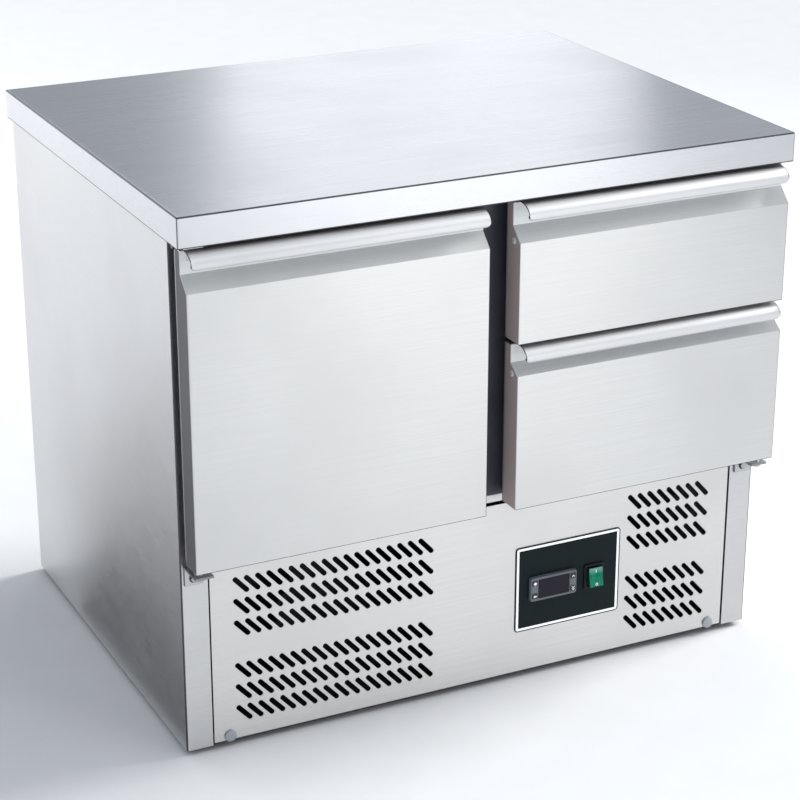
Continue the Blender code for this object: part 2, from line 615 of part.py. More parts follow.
def make_cabinet():
    make_side_panel("side_panel_left", -1)
    make_side_panel("side_panel_right", 1)
    inner = SIDE - SHEET - SEAT_GAP
    back = box("back_panel", (-inner, BACK_INNER, level(SHEET)),
               (inner, BACK_INNER + SHEET, UNDER - SEAT_GAP),
               "zinc")
    centres = []
    for row in range(VENT_ROWS):
        for column in range(VENT_COLUMNS):
            centres.append(((column - (VENT_COLUMNS - 1) / 2) * VENT_PITCH,
                            level(VENT_BOTTOM + row * VENT_ROW_PITCH) + VENT_HEIGHT / 2))
    cut(back, slot_cutter("cutter_vents", centres, BACK_INNER + SHEET / 2, SHEET + 2 * OVERRUN,
                          VENT_HEIGHT / 2, VENT_WIDTH / 2, math.radians(90)))
    cut(back, turned("cutter_gland", rod_profile(GLAND_STEM_RADIUS + SEAT_GAP, SHEET + 2 * OVERRUN),
                     (GLAND_X, BACK_INNER - OVERRUN, level(GLAND_HEIGHT)), TO_BACK, None,
                     steps=SMALL_STEPS))
    gland_face = BACK_INNER + SHEET + SEAT_GAP
    stem_end = gland_face - GLAND_STEM
    turned("cable_gland", ((GLAND_BORE, -GLAND_STEM), (GLAND_STEM_RADIUS, -GLAND_STEM),
                           (GLAND_STEM_RADIUS, 0),
                           (GLAND_RADIUS, 0), (GLAND_RADIUS, GLAND_PROUD), (GLAND_BORE, GLAND_PROUD),
                           (GLAND_BORE, -GLAND_STEM)),
           (GLAND_X, stem_end + GLAND_STEM, level(GLAND_HEIGHT)), TO_BACK, "dark_plastic",
           steps=SMALL_STEPS)

    foam = box("cabinet_insulation", (-inner, FOAM_FRONT, level(SILL_BOTTOM)),
               (inner, BACK_INNER - SEAT_GAP, UNDER - SEAT_GAP), "foam")
    shell = SHEET + SEAT_GAP
    cut(foam, helper_box("cutter_cavity",
                         (-CAVITY_HALF_WIDTH - shell, FOAM_FRONT - OVERRUN,
                          level(CAVITY_BOTTOM) - shell),
                         (CAVITY_HALF_WIDTH + shell, CAVITY_BACK + shell, level(CAVITY_TOP) + shell)))
    liner = box("inner_liner", (-CAVITY_HALF_WIDTH - SHEET, FOAM_FRONT, level(CAVITY_BOTTOM) - SHEET),
                (CAVITY_HALF_WIDTH + SHEET, CAVITY_BACK + SHEET, level(CAVITY_TOP) + SHEET), "liner")
    cut(liner, helper_box("cutter_liner", (-CAVITY_HALF_WIDTH, FOAM_FRONT - OVERRUN,
                                           level(CAVITY_BOTTOM)),
                          (CAVITY_HALF_WIDTH, CAVITY_BACK, level(CAVITY_TOP))))
    frame_edge = POST_INNER - SEAT_GAP
    frame = box("front_frame", (-frame_edge, FRAME, level(SILL_TOP) + SEAT_GAP),
                (frame_edge, FRAME + FRAME_DEPTH, UNDER - SEAT_GAP), "dark_plastic")
    bar_low = level(CROSSBAR_MIDDLE) - CROSSBAR_HEIGHT / 2
    bar_high = level(CROSSBAR_MIDDLE) + CROSSBAR_HEIGHT / 2
    for name, x0, x1, z0, z1 in (
            ("cutter_door_window", -CAVITY_HALF_WIDTH, -MULLION, level(CAVITY_BOTTOM),
             level(CAVITY_TOP)),
            ("cutter_lower_window", MULLION, CAVITY_HALF_WIDTH, level(CAVITY_BOTTOM), bar_low),
            ("cutter_upper_window", MULLION, CAVITY_HALF_WIDTH, bar_high, level(CAVITY_TOP))):
        cut(frame, helper_box(name, (x0, FRAME - OVERRUN, z0), (x1, FRAME + FRAME_DEPTH + OVERRUN, z1)))
    box("front_sill", (-frame_edge, FRAME, level(SILL_BOTTOM)),
        (frame_edge, FRAME + FRAME_DEPTH, level(SILL_TOP)),
        "steel")
    box("drawer_partition", (PARTITION_FACE - PARTITION_SHEET, FOAM_FRONT,
                             level(CAVITY_BOTTOM) + SEAT_GAP),
        (PARTITION_FACE, CAVITY_BACK - SEAT_GAP, level(CAVITY_TOP) - SEAT_GAP), "liner")

    base_front = FRAME + SHEET + SEAT_GAP
    base = box("base_pan", (-inner, base_front, BASE),
               (inner, BACK_INNER - SEAT_GAP, BASE + BASE_SHEET), "zinc")
    weld(base, helper_box("helper_base_flange", (-inner, base_front, BASE + BASE_SHEET / 2),
                          (inner, base_front + BASE_SHEET, BASE + BASE_FLANGE)))
    for name, x, y in (("helper_pad_fl", -SIDE + PAD_INSET, FRAME + PAD_INSET),
                       ("helper_pad_fr", SIDE - PAD_INSET, FRAME + PAD_INSET),
                       ("helper_pad_bl", -SIDE + PAD_INSET, REAR - PAD_INSET),
                       ("helper_pad_br", SIDE - PAD_INSET, REAR - PAD_INSET)):
        weld(base, turned(name, rod_profile(PAD_RADIUS, PAD_HEIGHT + BASE_SHEET / 2), (x, y, 0),
                          UPRIGHT, None,
                          steps=SMALL_STEPS))


def make_hinges():
    bottom = level(BRACKET_TOP) - BRACKET_HEIGHT
    leaf_front = FRAME - SEAT_GAP - LEAF_REACH
    for suffix, side in (("left", -1), ("right", 1)):
        outer = side * (SIDE - BRACKET_EDGE)
        inner = side * (SIDE - BRACKET_EDGE - BRACKET_WIDTH)
        x0, x1 = min(outer, inner), max(outer, inner)
        back = FRAME - SEAT_GAP
        outline = ((back, bottom), (back, level(BRACKET_TOP)), (leaf_front, level(BRACKET_TOP)),
                   (leaf_front, level(BRACKET_TOP) - BRACKET_SHEET),
                   (back - BRACKET_SHEET, level(BRACKET_TOP) - BRACKET_SHEET),
                   (back - BRACKET_SHEET, bottom))
        bracket = prism("lower_hinge_bracket_" + suffix, outline, 0, x0, x1, "zinc",
                        origin=((x0 + x1) / 2, back, level(BRACKET_TOP)))
        pin_x = side * -HINGE_X
        cut(bracket, turned("cutter_bracket_" + suffix,
                            rod_profile(PIN_RADIUS + SEAT_GAP, BRACKET_SHEET + 2 * OVERRUN),
                            (pin_x, HINGE_Y, level(BRACKET_TOP) - BRACKET_SHEET - OVERRUN), UPRIGHT,
                            None,
                            steps=SMALL_STEPS))
        weld(bracket, turned("helper_bolt_" + suffix, rod_profile(BOLT_RADIUS,
                                                                  BOLT_HEIGHT + BRACKET_SHEET / 2),
                             ((x0 + x1) / 2, back - BRACKET_SHEET / 2, level(BRACKET_TOP) - BOLT_DROP),
                             TO_FRONT,
                             None, steps=BOLT_SIDES))
        head = level(BRACKET_TOP) - BRACKET_SHEET - SEAT_GAP
        top = level(BRACKET_TOP) + SEAT_GAP
        reach = level(FRONTS_BOTTOM) + PIN_GRIP if suffix == "left" else top + PIN_HEAD_HEIGHT / 2
        collar = (level(FRONTS_BOTTOM) - SEAT_GAP) if suffix == "left" else top
        profile = [(0, -PIN_HEAD_HEIGHT), (PIN_HEAD_RADIUS, -PIN_HEAD_HEIGHT), (PIN_HEAD_RADIUS, 0),
                   (PIN_RADIUS, 0), (PIN_RADIUS, top - head)]
        if suffix == "left":
            profile += [(PIN_COLLAR_RADIUS, top - head), (PIN_COLLAR_RADIUS, collar - head),
                        (PIN_RADIUS, collar - head)]
        profile += [(PIN_RADIUS, reach - head), (0, reach - head)]
        turned("lower_hinge_pin_" + suffix, profile, (pin_x, HINGE_Y, head), UPRIGHT, "zinc",
               steps=SMALL_STEPS)

    tab_back = FRAME - SEAT_GAP
    leaf_top = UNDER - SEAT_GAP
    leaf_low = leaf_top - UPPER_LEAF_SHEET
    tab_front = tab_back - UPPER_LEAF_SHEET
    tab_low = leaf_top - UPPER_TAB_HEIGHT
    outline = ((tab_back, tab_low), (tab_back, leaf_top), (leaf_front, leaf_top), (leaf_front, leaf_low),
               (tab_front, leaf_low), (tab_front, tab_low))
    x0 = -SIDE + BRACKET_EDGE
    upper = prism("upper_hinge_bracket", outline, 0, x0, x0 + BRACKET_WIDTH, "zinc",
                  origin=(x0, tab_back, leaf_top))
    pin_low = level(FRONTS_TOP) - PIN_GRIP
    weld(upper, turned("helper_upper_pin", rod_profile(PIN_RADIUS,
                                                       leaf_low + UPPER_LEAF_SHEET / 2 - pin_low),
                       (HINGE_X, HINGE_Y, pin_low), UPRIGHT, None, steps=SMALL_STEPS))


def front_outline(bottom, top, rise, scoop, shrink):
    """Side view of a front: flat face, sloping scoop and upright recess wall, shrunk by a wall."""
    face = FACE + shrink
    recess = FACE + SCOOP_DEPTH + shrink
    back = FACE + FRONT_THICKNESS
    slope_low = top - scoop
    slip = shrink * (math.sqrt(SCOOP_DEPTH ** 2 + rise ** 2) - rise) / SCOOP_DEPTH
    turn = shrink * (math.sqrt(SCOOP_DEPTH ** 2 + rise ** 2) - rise) / SCOOP_DEPTH
    return ((back, bottom + shrink), (face, bottom + shrink), (face, slope_low - slip),
            (recess, slope_low + rise - turn), (recess, top - shrink), (back, top - shrink))


def lip_outline(top):
    """Side view of the curled lip, outer skin out and inner skin back."""
    nose = FACE - LIP_PROUD
    centre_y = nose + LIP_REACH
    centre_z = top - LIP_NOSE_DROP
    flange_end = FACE + SCOOP_DEPTH + LIP_FLANGE
    outer = [(flange_end, top)]
    inner = [(flange_end, top - LIP_SHEET)]
    for step in range(LIP_ARC_STEPS + 1):
        angle = math.radians(90 * step / LIP_ARC_STEPS)
        outer.append((centre_y - LIP_REACH * math.sin(angle),
                      centre_z + LIP_NOSE_DROP * math.cos(angle)))
        inner.append((centre_y - (LIP_REACH - LIP_SHEET) * math.sin(angle),
                      centre_z + (LIP_NOSE_DROP - LIP_SHEET) * math.cos(angle)))
    curl_z = centre_z - LIP_STRAIGHT
    curl_y = nose + LIP_CURL
    for step in range(LIP_CURL_STEPS + 1):
        angle = math.radians(70 * step / LIP_CURL_STEPS)
        outer.append((curl_y - LIP_CURL * math.cos(angle), curl_z - LIP_CURL * math.sin(angle)))
        inner.append((curl_y - (LIP_CURL - LIP_SHEET) * math.cos(angle),
                      curl_z - (LIP_CURL - LIP_SHEET) * math.sin(angle)))
    return outer + inner[::-1]


def make_front(prefix, left, right, bottom, top, rise, scoop, carrier, lip_inset, pins=()):
    """Skin and foam of one front, with its handle lip and its gasket."""
    skin = prism(prefix + "_skin", front_outline(bottom, top, rise, scoop, 0), 0, left, right, "steel",
                 carrier,
                 origin=((left + right) / 2, FACE, bottom))
    hollow = [(y, z) for y, z in front_outline(bottom, top, rise, scoop, SHEET)]
    hollow[0] = (hollow[0][0] + OVERRUN, hollow[0][1])
    hollow[-1] = (hollow[-1][0] + OVERRUN, hollow[-1][1])
    cut(skin, prism("cutter_" + prefix, hollow, 0, left + SHEET, right - SHEET, None, carrier))
    wall = SHEET + SEAT_GAP
    inner_face = FACE + FRONT_THICKNESS
    filling = list(front_outline(bottom, top, rise, scoop, wall))
    filling[0] = (inner_face - SEAT_GAP, filling[0][1])
    filling[-1] = (inner_face - SEAT_GAP, filling[-1][1])
    foam = prism(prefix + "_insulation", filling, 0, left + wall, right - wall, "foam", carrier,
                 origin=((left + right) / 2, FACE, bottom))
    for index, (x, y, z0, z1) in enumerate(pins):
        hole = turned("cutter_%s_pin_%d" % (prefix, index), rod_profile(PIN_RADIUS + PIN_CLEARANCE,
                                                                        z1 - z0),
                      (x, y, z0), UPRIGHT, None, carrier, steps=SMALL_STEPS)
        cut(skin, hole)
        cut(foam, hole)
    lip_top = top + SEAT_GAP + LIP_SHEET
    lip = prism(prefix + "_handle_lip", lip_outline(lip_top), 0, left + lip_inset, right - lip_inset,
                "steel", carrier,
                origin=((left + right) / 2, FACE, top))
    for index, (x, y, z0, z1) in enumerate(pins):
        if z1 > top:
            cut(lip, turned("cutter_%s_lip_%d" % (prefix, index),
                            rod_profile(PIN_RADIUS + PIN_CLEARANCE, z1 - z0 + LIP_NOSE_DROP),
                            (x, y, z0), UPRIGHT, None, carrier, steps=SMALL_STEPS))


def make_gasket(name, left, right, bottom, top, seat, carrier):
    ring = box(name, (left, seat, bottom), (right, FRAME - SEAT_GAP, top), "gasket", carrier)
    width = GASKET_WIDTH
    cut(ring, helper_box("cutter_" + name, (left + width, seat - OVERRUN, bottom + width),
                         (right - width, FRAME + OVERRUN, top - width), carrier))


def make_door():
    hinge = carrier_at("door_hinge_axis", (HINGE_X, HINGE_Y, level(FRONTS_BOTTOM)))
    left, right = -FRONT_OUTER, -FRONT_INNER
    bottom, top = level(FRONTS_BOTTOM), level(FRONTS_TOP)
    grip = PIN_GRIP + OVERRUN
    pins = ((HINGE_X, HINGE_Y, bottom - OVERRUN, bottom + grip),
            (HINGE_X, HINGE_Y, top - grip, top + OVERRUN))
    make_front("door", left, right, bottom, top, SCOOP_RISE, SCOOP_HEIGHT, hinge, DOOR_LIP_INSET, pins)
    panel_front = FACE + FRONT_THICKNESS + SEAT_GAP
    panel_back = panel_front + HEAVY_SHEET
    panel = box("door_inner_panel", (left, panel_front, bottom), (right, panel_back, top), "liner",
                hinge)
    weld(panel, helper_box("helper_door_dish", (left + DISH_INSET, panel_back - HEAVY_SHEET / 2,
                                                bottom + DISH_INSET),
                           (right - DISH_INSET, panel_back + DISH_DEPTH - HEAVY_SHEET,
                            top - DISH_INSET), hinge))
    make_gasket("door_gasket", HINGE_X, right - GASKET_INSET, bottom + GASKET_INSET, top - GASKET_INSET,
                panel_back + SEAT_GAP, hinge)


def make_drawer(prefix, bottom, top, rise, scoop, window_low, window_high):
    left, right = FRONT_INNER, FRONT_OUTER
    middle = (left + right) / 2
    slide = carrier_at(prefix + "_slide_axis", (middle, FACE, (bottom + top) / 2))
    make_front(prefix, left, right, bottom, top, rise, scoop, slide, DRAWER_LIP_INSET)
    panel_front = FACE + FRONT_THICKNESS + SEAT_GAP
    panel_back = panel_front + HEAVY_SHEET
    make_gasket(prefix + "_gasket", left + GASKET_INSET, right - GASKET_INSET, bottom + GASKET_INSET,
                top - GASKET_INSET, panel_back + SEAT_GAP, slide)
    pan_left = PARTITION_FACE + PAN_SIDE_GAP
    pan_right = CAVITY_HALF_WIDTH - PAN_SIDE_GAP
    pan_low = window_low + PAN_FOOT_GAP
    pan_high = window_high - PAN_HEAD_GAP
    pan_back = CAVITY_BACK - PAN_BACK_GAP
    pan = box(prefix + "_pan", (left, panel_front, bottom), (right, panel_back, top), "liner", slide)
    weld(pan, helper_box("helper_%s_pan" % prefix, (pan_left, panel_back - HEAVY_SHEET / 2, pan_low),
                         (pan_right, pan_back, pan_high), slide))
    rail_z = pan_low + RUNNER_RISE
    rail_half = RUNNER_HEIGHT / 2 - RUNNER_WALL - RUNNING_GAP
    rail_front = FOAM_FRONT + RUNNING_GAP
    for suffix, x0, x1 in (("left", pan_left - RAIL_REACH, pan_left + PAN_WALL / 2),
                           ("right", pan_right - PAN_WALL / 2, pan_right + RAIL_REACH)):
        weld(pan, helper_box("helper_%s_rail_%s" % (prefix, suffix),
                             (x0, rail_front, rail_z - rail_half),
                             (x1, rail_front + RAIL_LENGTH, rail_z + rail_half), slide))
    cut(pan, helper_box("cutter_%s_well" % prefix,
                        (pan_left + PAN_WALL, panel_back, pan_low + PAN_WALL),
                        (pan_right - PAN_WALL, pan_back - PAN_WALL, pan_high + OVERRUN), slide))
    for suffix, wall, side in (("left", PARTITION_FACE + SEAT_GAP, 1),
                               ("right", CAVITY_HALF_WIDTH - SEAT_GAP, -1)):
        web = wall + side * RUNNER_WALL
        lip = wall + side * RUNNER_WIDTH
        low, high = rail_z - RUNNER_HEIGHT / 2, rail_z + RUNNER_HEIGHT / 2
        outline = ((wall, low), (lip, low), (lip, low + RUNNER_WALL), (web, low + RUNNER_WALL),
                   (web, high - RUNNER_WALL), (lip, high - RUNNER_WALL), (lip, high), (wall, high))
        prism("%s_runner_%s" % (prefix, suffix), outline, 1, FOAM_FRONT, FOAM_FRONT + RUNNER_LENGTH,
              "zinc",
              origin=(wall, FOAM_FRONT, rail_z))


def make_shelf():
    left = -CAVITY_HALF_WIDTH + SEAT_GAP
    right = PARTITION_FACE - PARTITION_SHEET - SEAT_GAP
    front = FOAM_FRONT + SHELF_FRONT_GAP
    back = CAVITY_BACK - SHELF_BACK_GAP
    shelf = box("wire_shelf", (left, front, level(SHELF_HEIGHT)),
                (right, back, level(SHELF_HEIGHT) + SHELF_THICKNESS),
                "white_wire")
    pitch_x = (right - left - SHELF_BAR) / SHELF_BARS
    pitch_y = (back - front - SHELF_BAR) / SHELF_SPANS

    def build(shape):
        for column in range(SHELF_BARS):
            for row in range(SHELF_SPANS):
                x0 = left + SHELF_BAR + column * pitch_x
                y0 = front + SHELF_BAR + row * pitch_y
                made = bmesh.ops.create_cube(shape, size=1)
                size = (pitch_x - SHELF_BAR, pitch_y - SHELF_BAR, SHELF_THICKNESS + 2 * OVERRUN)
                bmesh.ops.scale(shape, vec=size, verts=made["verts"])
                bmesh.ops.translate(shape, verts=made["verts"],
                                    vec=(x0 + size[0] / 2, y0 + size[1] / 2,
                                         level(SHELF_HEIGHT) + SHELF_THICKNESS / 2))

    cut(shelf, add("cutter_shelf", mesh_from("cutter_shelf", build), (0, 0, 0), None))


def finned_block(name, low, high, fins, colour_key):
    """A heat exchanger block with upright grooves in its front and back faces."""
    block = box(name, low, high, colour_key)
    pitch = (high[0] - low[0]) / fins
    groove = (high[1] - low[1]) * FIN_DEPTH_SHARE

    def build(shape):
        for index in range(fins):
            for y0, y1 in ((low[1] - OVERRUN, low[1] + groove), (high[1] - groove, high[1] + OVERRUN)):
                made = bmesh.ops.create_cube(shape, size=1)
                bmesh.ops.scale(shape, vec=(pitch * FIN_SHARE, y1 - y0, high[2] - low[2] + 2 * OVERRUN),
                                verts=made["verts"])
                bmesh.ops.translate(shape, verts=made["verts"],
                                    vec=(low[0] + (index + FIN_SHARE) * pitch, (y0 + y1) / 2,
                                         (low[2] + high[2]) / 2))

    cut(block, add("cutter_" + name, mesh_from("cutter_" + name, build), (0, 0, 0), None))
    return block


def make_fan_blade(name, where, carrier):
    """A hub with pitched blades, turning round Y. Its bore clears the motor shaft."""
    bore = SHAFT_RADIUS + HUB_SHAFT_GAP
    half = HUB_LENGTH / 2
    hub = turned(name, ((bore, -half), (HUB_RADIUS, -half), (HUB_RADIUS, half), (bore, half),
                        (bore, -half)),
                 where, TO_BACK, "black_enamel", carrier, steps=SMALL_STEPS)

    def build(shape):
        for index in range(BLADE_COUNT):
            made = bmesh.ops.create_cube(shape, size=1)
            bmesh.ops.scale(shape, vec=(BLADE_LENGTH, BLADE_SHEET, BLADE_WIDTH), verts=made["verts"])
            pitch = Matrix.Rotation(BLADE_PITCH, 4, "X")
            out = Matrix.Translation((HUB_RADIUS + BLADE_LENGTH / 2 - BLADE_SHEET, 0, 0))
            around = Matrix.Rotation(2 * math.pi * index / BLADE_COUNT, 4, "Y")
            bmesh.ops.transform(shape, matrix=around @ out @ pitch, verts=made["verts"])

    weld(hub, add("helper_" + name, mesh_from("helper_" + name, build), where, None, carrier))


def make_evaporator():
    back = CAVITY_BACK - SEAT_GAP
    top = level(CAVITY_TOP) - COIL_TOP_GAP
    left, right = COIL_LEFT, COIL_RIGHT
    coil = finned_block("evaporator_coil", (left, back - COIL_DEPTH, top - COIL_HEIGHT),
                        (right, back, top),
                        COIL_FINS, "aluminium")
    cover_back = back - COIL_DEPTH - SEAT_GAP
    cover_front = cover_back - COVER_GAP
    cover = box("evaporator_cover", (left, cover_front, top - COIL_HEIGHT), (right, cover_back, top),
                "liner")
    cut(cover, helper_box("cutter_cover", (left + COVER_SHEET, cover_front + COVER_SHEET,
                                           top - COIL_HEIGHT + COVER_SHEET),
                          (right - COVER_SHEET, cover_back + OVERRUN, top - COVER_SHEET)))
    middle_z = top - COIL_HEIGHT / 2
    cut(cover, turned("cutter_cover_hole", rod_profile(FAN_HOLE_RADIUS, COVER_SHEET + 2 * OVERRUN),
                      (COIL_X, cover_front - OVERRUN, middle_z), TO_BACK, None))
    fan_y = cover_front + COVER_GAP / 2
    motor = turned("evaporator_fan_shaft",
                   ((0, 0), (HUB_RADIUS, 0), (HUB_RADIUS, COVER_SHEET), (SHAFT_RADIUS, COVER_SHEET),
                    (SHAFT_RADIUS, cover_back - SEAT_GAP - fan_y + HUB_LENGTH / 2),
                    (0, cover_back - SEAT_GAP - fan_y + HUB_LENGTH / 2)),
                   (COIL_X, cover_back, middle_z), TO_FRONT, "zinc", steps=SMALL_STEPS)
    axis = carrier_at("evaporator_fan_axis", (COIL_X, fan_y, middle_z))
    make_fan_blade("evaporator_fan_blade", (COIL_X, fan_y, middle_z), axis)


def make_machine_room():
    floor = BASE + BASE_SHEET + SEAT_GAP
    place = (COMPRESSOR_X, FRAME + COMPRESSOR_SETBACK, floor)
    profile = [(radius * COMPRESSOR_RADIUS, COMPRESSOR_FOOT_HEIGHT / 2 + rise * COMPRESSOR_HEIGHT)
               for radius, rise in COMPRESSOR_PROFILE_SHARES]
    compressor = turned("compressor", profile, place, UPRIGHT, "black_enamel", steps=ROUND_STEPS)
    weld(compressor, helper_box("helper_compressor_foot",
                                (COMPRESSOR_X - COMPRESSOR_FOOT, place[1] - COMPRESSOR_RADIUS, floor),
                                (COMPRESSOR_X + COMPRESSOR_FOOT, place[1] + COMPRESSOR_RADIUS,
                                 floor + COMPRESSOR_FOOT_HEIGHT)))
    front = FRAME + CONDENSER_SETBACK
    left, right = CONDENSER_X - CONDENSER_WIDTH / 2, CONDENSER_X + CONDENSER_WIDTH / 2
    top = floor + CONDENSER_HEIGHT
    finned_block("condenser_coil", (left, front, floor), (right, front + CONDENSER_DEPTH, top),
                 CONDENSER_FINS,
                 "aluminium")
    shroud_front = front + CONDENSER_DEPTH + SEAT_GAP
    shroud_back = shroud_front + SHROUD_DEPTH
    shroud = box("condenser_shroud", (left, shroud_front, floor), (right, shroud_back, top),
                 "black_enamel")
    cut(shroud, helper_box("cutter_shroud", (left + SHROUD_WALL, shroud_front - OVERRUN,
                                             floor + SHROUD_WALL),
                           (right - SHROUD_WALL, shroud_back - SHROUD_WALL, top - SHROUD_WALL)))
    axis_z = floor + CONDENSER_HEIGHT / 2
    cut(shroud, turned("cutter_shroud_hole", rod_profile(FAN_HOLE_RADIUS, SHROUD_WALL + 2 * OVERRUN),
                       (CONDENSER_X, shroud_back - SHROUD_WALL - OVERRUN, axis_z), TO_BACK, None))
    motor_front = shroud_back + SEAT_GAP + MOTOR_ARM
    shaft_end = motor_front - shroud_front - FAN_PLANE + HUB_LENGTH / 2
    motor = turned("condenser_fan_motor",
                   ((0, -MOTOR_LENGTH), (MOTOR_RADIUS, -MOTOR_LENGTH), (MOTOR_RADIUS, 0),
                    (SHAFT_RADIUS, 0),
                    (SHAFT_RADIUS, shaft_end), (0, shaft_end)),
                   (CONDENSER_X, motor_front, axis_z), TO_FRONT, "black_enamel", steps=SMALL_STEPS)
    arm_reach = FAN_HOLE_RADIUS + MOTOR_ARM
    arm_half = MOTOR_ARM / 2
    arm = helper_box("helper_motor_arm", (CONDENSER_X - arm_reach, motor_front, axis_z - arm_half),
                     (CONDENSER_X + arm_reach, motor_front + MOTOR_ARM / 2, axis_z + arm_half))
    weld(motor, arm)
    for name, side in (("left", -1), ("right", 1)):
        x0 = CONDENSER_X + side * arm_reach
        x1 = CONDENSER_X + side * (arm_reach - MOTOR_ARM / 2)
        weld(motor, helper_box("helper_motor_leg_" + name,
                               (min(x0, x1), shroud_back + SEAT_GAP, axis_z - arm_half),
                               (max(x0, x1), motor_front + MOTOR_ARM / 4, axis_z + arm_half)))
    fan_y = shroud_front + FAN_PLANE
    axis = carrier_at("condenser_fan_axis", (CONDENSER_X, fan_y, axis_z))
    make_fan_blade("condenser_fan_blade", (CONDENSER_X, fan_y, axis_z), axis)

    tray_x = CONDENSER_X
    tray_y = REAR - TRAY_INSET
    tray = box("evaporation_tray", (tray_x - TRAY_WIDTH / 2, tray_y - TRAY_DEPTH / 2, floor),
               (tray_x + TRAY_WIDTH / 2, tray_y + TRAY_DEPTH / 2, floor + TRAY_HEIGHT), "dark_plastic")
    cut(tray, helper_box("cutter_tray",
                         (tray_x - TRAY_WIDTH / 2 + TRAY_WALL, tray_y - TRAY_DEPTH / 2 + TRAY_WALL,
                          floor + TRAY_WALL),
                         (tray_x + TRAY_WIDTH / 2 - TRAY_WALL, tray_y + TRAY_DEPTH / 2 - TRAY_WALL,
                          floor + TRAY_HEIGHT + OVERRUN)))


def make_pipe():
    """The suction pipe: from the evaporator down through the foam, then over to the compressor."""
    y = CAVITY_BACK - SEAT_GAP - COIL_DEPTH / 2
    top = level(CAVITY_TOP) - COIL_TOP_GAP - COIL_HEIGHT - SEAT_GAP
    comp_y = FRAME + COMPRESSOR_SETBACK
    start_z = BASE + BASE_SHEET + SEAT_GAP + COMPRESSOR_FOOT_HEIGHT / 2 + COMPRESSOR_HEIGHT + SEAT_GAP
    bend = 4 * PIPE_RADIUS
    turn_z = level(SILL_BOTTOM) - bend - 2 * PIPE_RADIUS
    points = [Vector((COMPRESSOR_X, comp_y, start_z))]
    corner_a = Vector((COMPRESSOR_X, comp_y, turn_z))
    corner_b = Vector((PIPE_X, y, turn_z))
    end = Vector((PIPE_X, y, top))
    for corner, before, after in ((corner_a, points[0], corner_b), (corner_b, corner_a, end)):
        into = (corner - before).normalized()
        out = (after - corner).normalized()
        for step in range(5):
            share = step / 4
            one = corner - into * bend * (1 - share)
            two = corner + out * bend * share
            points.append(one.lerp(two, share))
    points.append(end)
    curve = bpy.data.curves.new("suction_pipe", "CURVE")
    curve.dimensions = "3D"
    curve.bevel_depth = PIPE_RADIUS
    curve.bevel_resolution = 2
    curve.use_fill_caps = True
    line = curve.splines.new("POLY")
    line.points.add(len(points) - 1)
    for spot, point in zip(line.points, points):
        spot.co = (point - corner_b).to_4d()
    pipe = bpy.data.objects.new("suction_pipe", curve)
    bpy.context.scene.collection.objects.link(pipe)
    pipe.location = corner_b
    colour, roughness, metallic = FINISHES["copper"]
    curve.materials.append(finish("suction_pipe_finish", colour, roughness, metallic))
    for target in ("cabinet_insulation", "inner_liner"):
        cut(bpy.data.objects[target],
            turned("cutter_pipe_" + target,
                   rod_profile(PIPE_HOLE_RADIUS, level(CAVITY_BOTTOM) + OVERRUN),
                   (PIPE_X, y, 0), UPRIGHT, None, steps=SMALL_STEPS))


def main():
    for item in list(bpy.data.objects):
        bpy.data.objects.remove(item, do_unlink=True)
    make_worktop()
    make_cabinet()
    make_grille_panel()
    make_controls()
    make_hinges()
    make_door()
    bar_low = level(CROSSBAR_MIDDLE) - CROSSBAR_HEIGHT / 2
    bar_high = level(CROSSBAR_MIDDLE) + CROSSBAR_HEIGHT / 2
    make_drawer("lower_drawer", level(FRONTS_BOTTOM), level(DRAWER_SPLIT) - SPLIT_GAP, LOWER_SCOOP_RISE,
                LOWER_SCOOP_HEIGHT, level(CAVITY_BOTTOM), bar_low)
    make_drawer("upper_drawer", level(DRAWER_SPLIT), level(FRONTS_TOP), SCOOP_RISE, SCOOP_HEIGHT,
                bar_high,
                level(CAVITY_TOP))
    make_shelf()
    make_evaporator()
    make_machine_room()
    make_pipe()


main()
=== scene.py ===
# %% [markdown]
# # A refrigerated work counter in folded stainless sheet
# The counter is one door, two drawers and a slotted machine-room panel under a thick
# worktop. The solid model already sits in the frame. This lesson dresses it: each cell makes
# one family of pieces as a surface worked out with numpy, and gives it a finish.

import bmesh
import bpy
import numpy as np
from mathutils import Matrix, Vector
from mathutils.geometry import delaunay_2d_cdt


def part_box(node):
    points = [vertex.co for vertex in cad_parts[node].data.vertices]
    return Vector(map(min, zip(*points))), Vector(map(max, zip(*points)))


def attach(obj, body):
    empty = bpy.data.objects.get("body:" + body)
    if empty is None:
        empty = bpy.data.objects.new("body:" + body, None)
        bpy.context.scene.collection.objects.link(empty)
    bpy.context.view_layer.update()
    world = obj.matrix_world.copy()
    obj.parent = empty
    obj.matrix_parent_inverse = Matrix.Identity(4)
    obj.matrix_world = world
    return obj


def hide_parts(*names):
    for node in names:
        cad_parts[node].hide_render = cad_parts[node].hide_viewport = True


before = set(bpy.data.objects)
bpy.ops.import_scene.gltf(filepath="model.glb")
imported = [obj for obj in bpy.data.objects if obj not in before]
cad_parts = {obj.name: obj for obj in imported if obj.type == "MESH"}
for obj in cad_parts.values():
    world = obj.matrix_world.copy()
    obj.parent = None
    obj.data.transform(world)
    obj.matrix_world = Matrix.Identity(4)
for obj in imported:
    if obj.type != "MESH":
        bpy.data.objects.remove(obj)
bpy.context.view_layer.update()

# %% [markdown]
# ## Building blocks for surfaces
# Nearly every piece is a row of rings joined by quads. A ring is a flat outline laid in one
# of three planes. These functions make folded sheet, turned parts, rolled edges, wires and
# punched panels. Sizes are millimetres, and become metres when a piece is made.

# %% Flat outlines and how they are laid
MM = 0.001
AXIS = {"side": 0, "front": 1, "top": 2}  # the coordinate that is the depth
SHARP = 0.01  # the radius of a corner that is left sharp


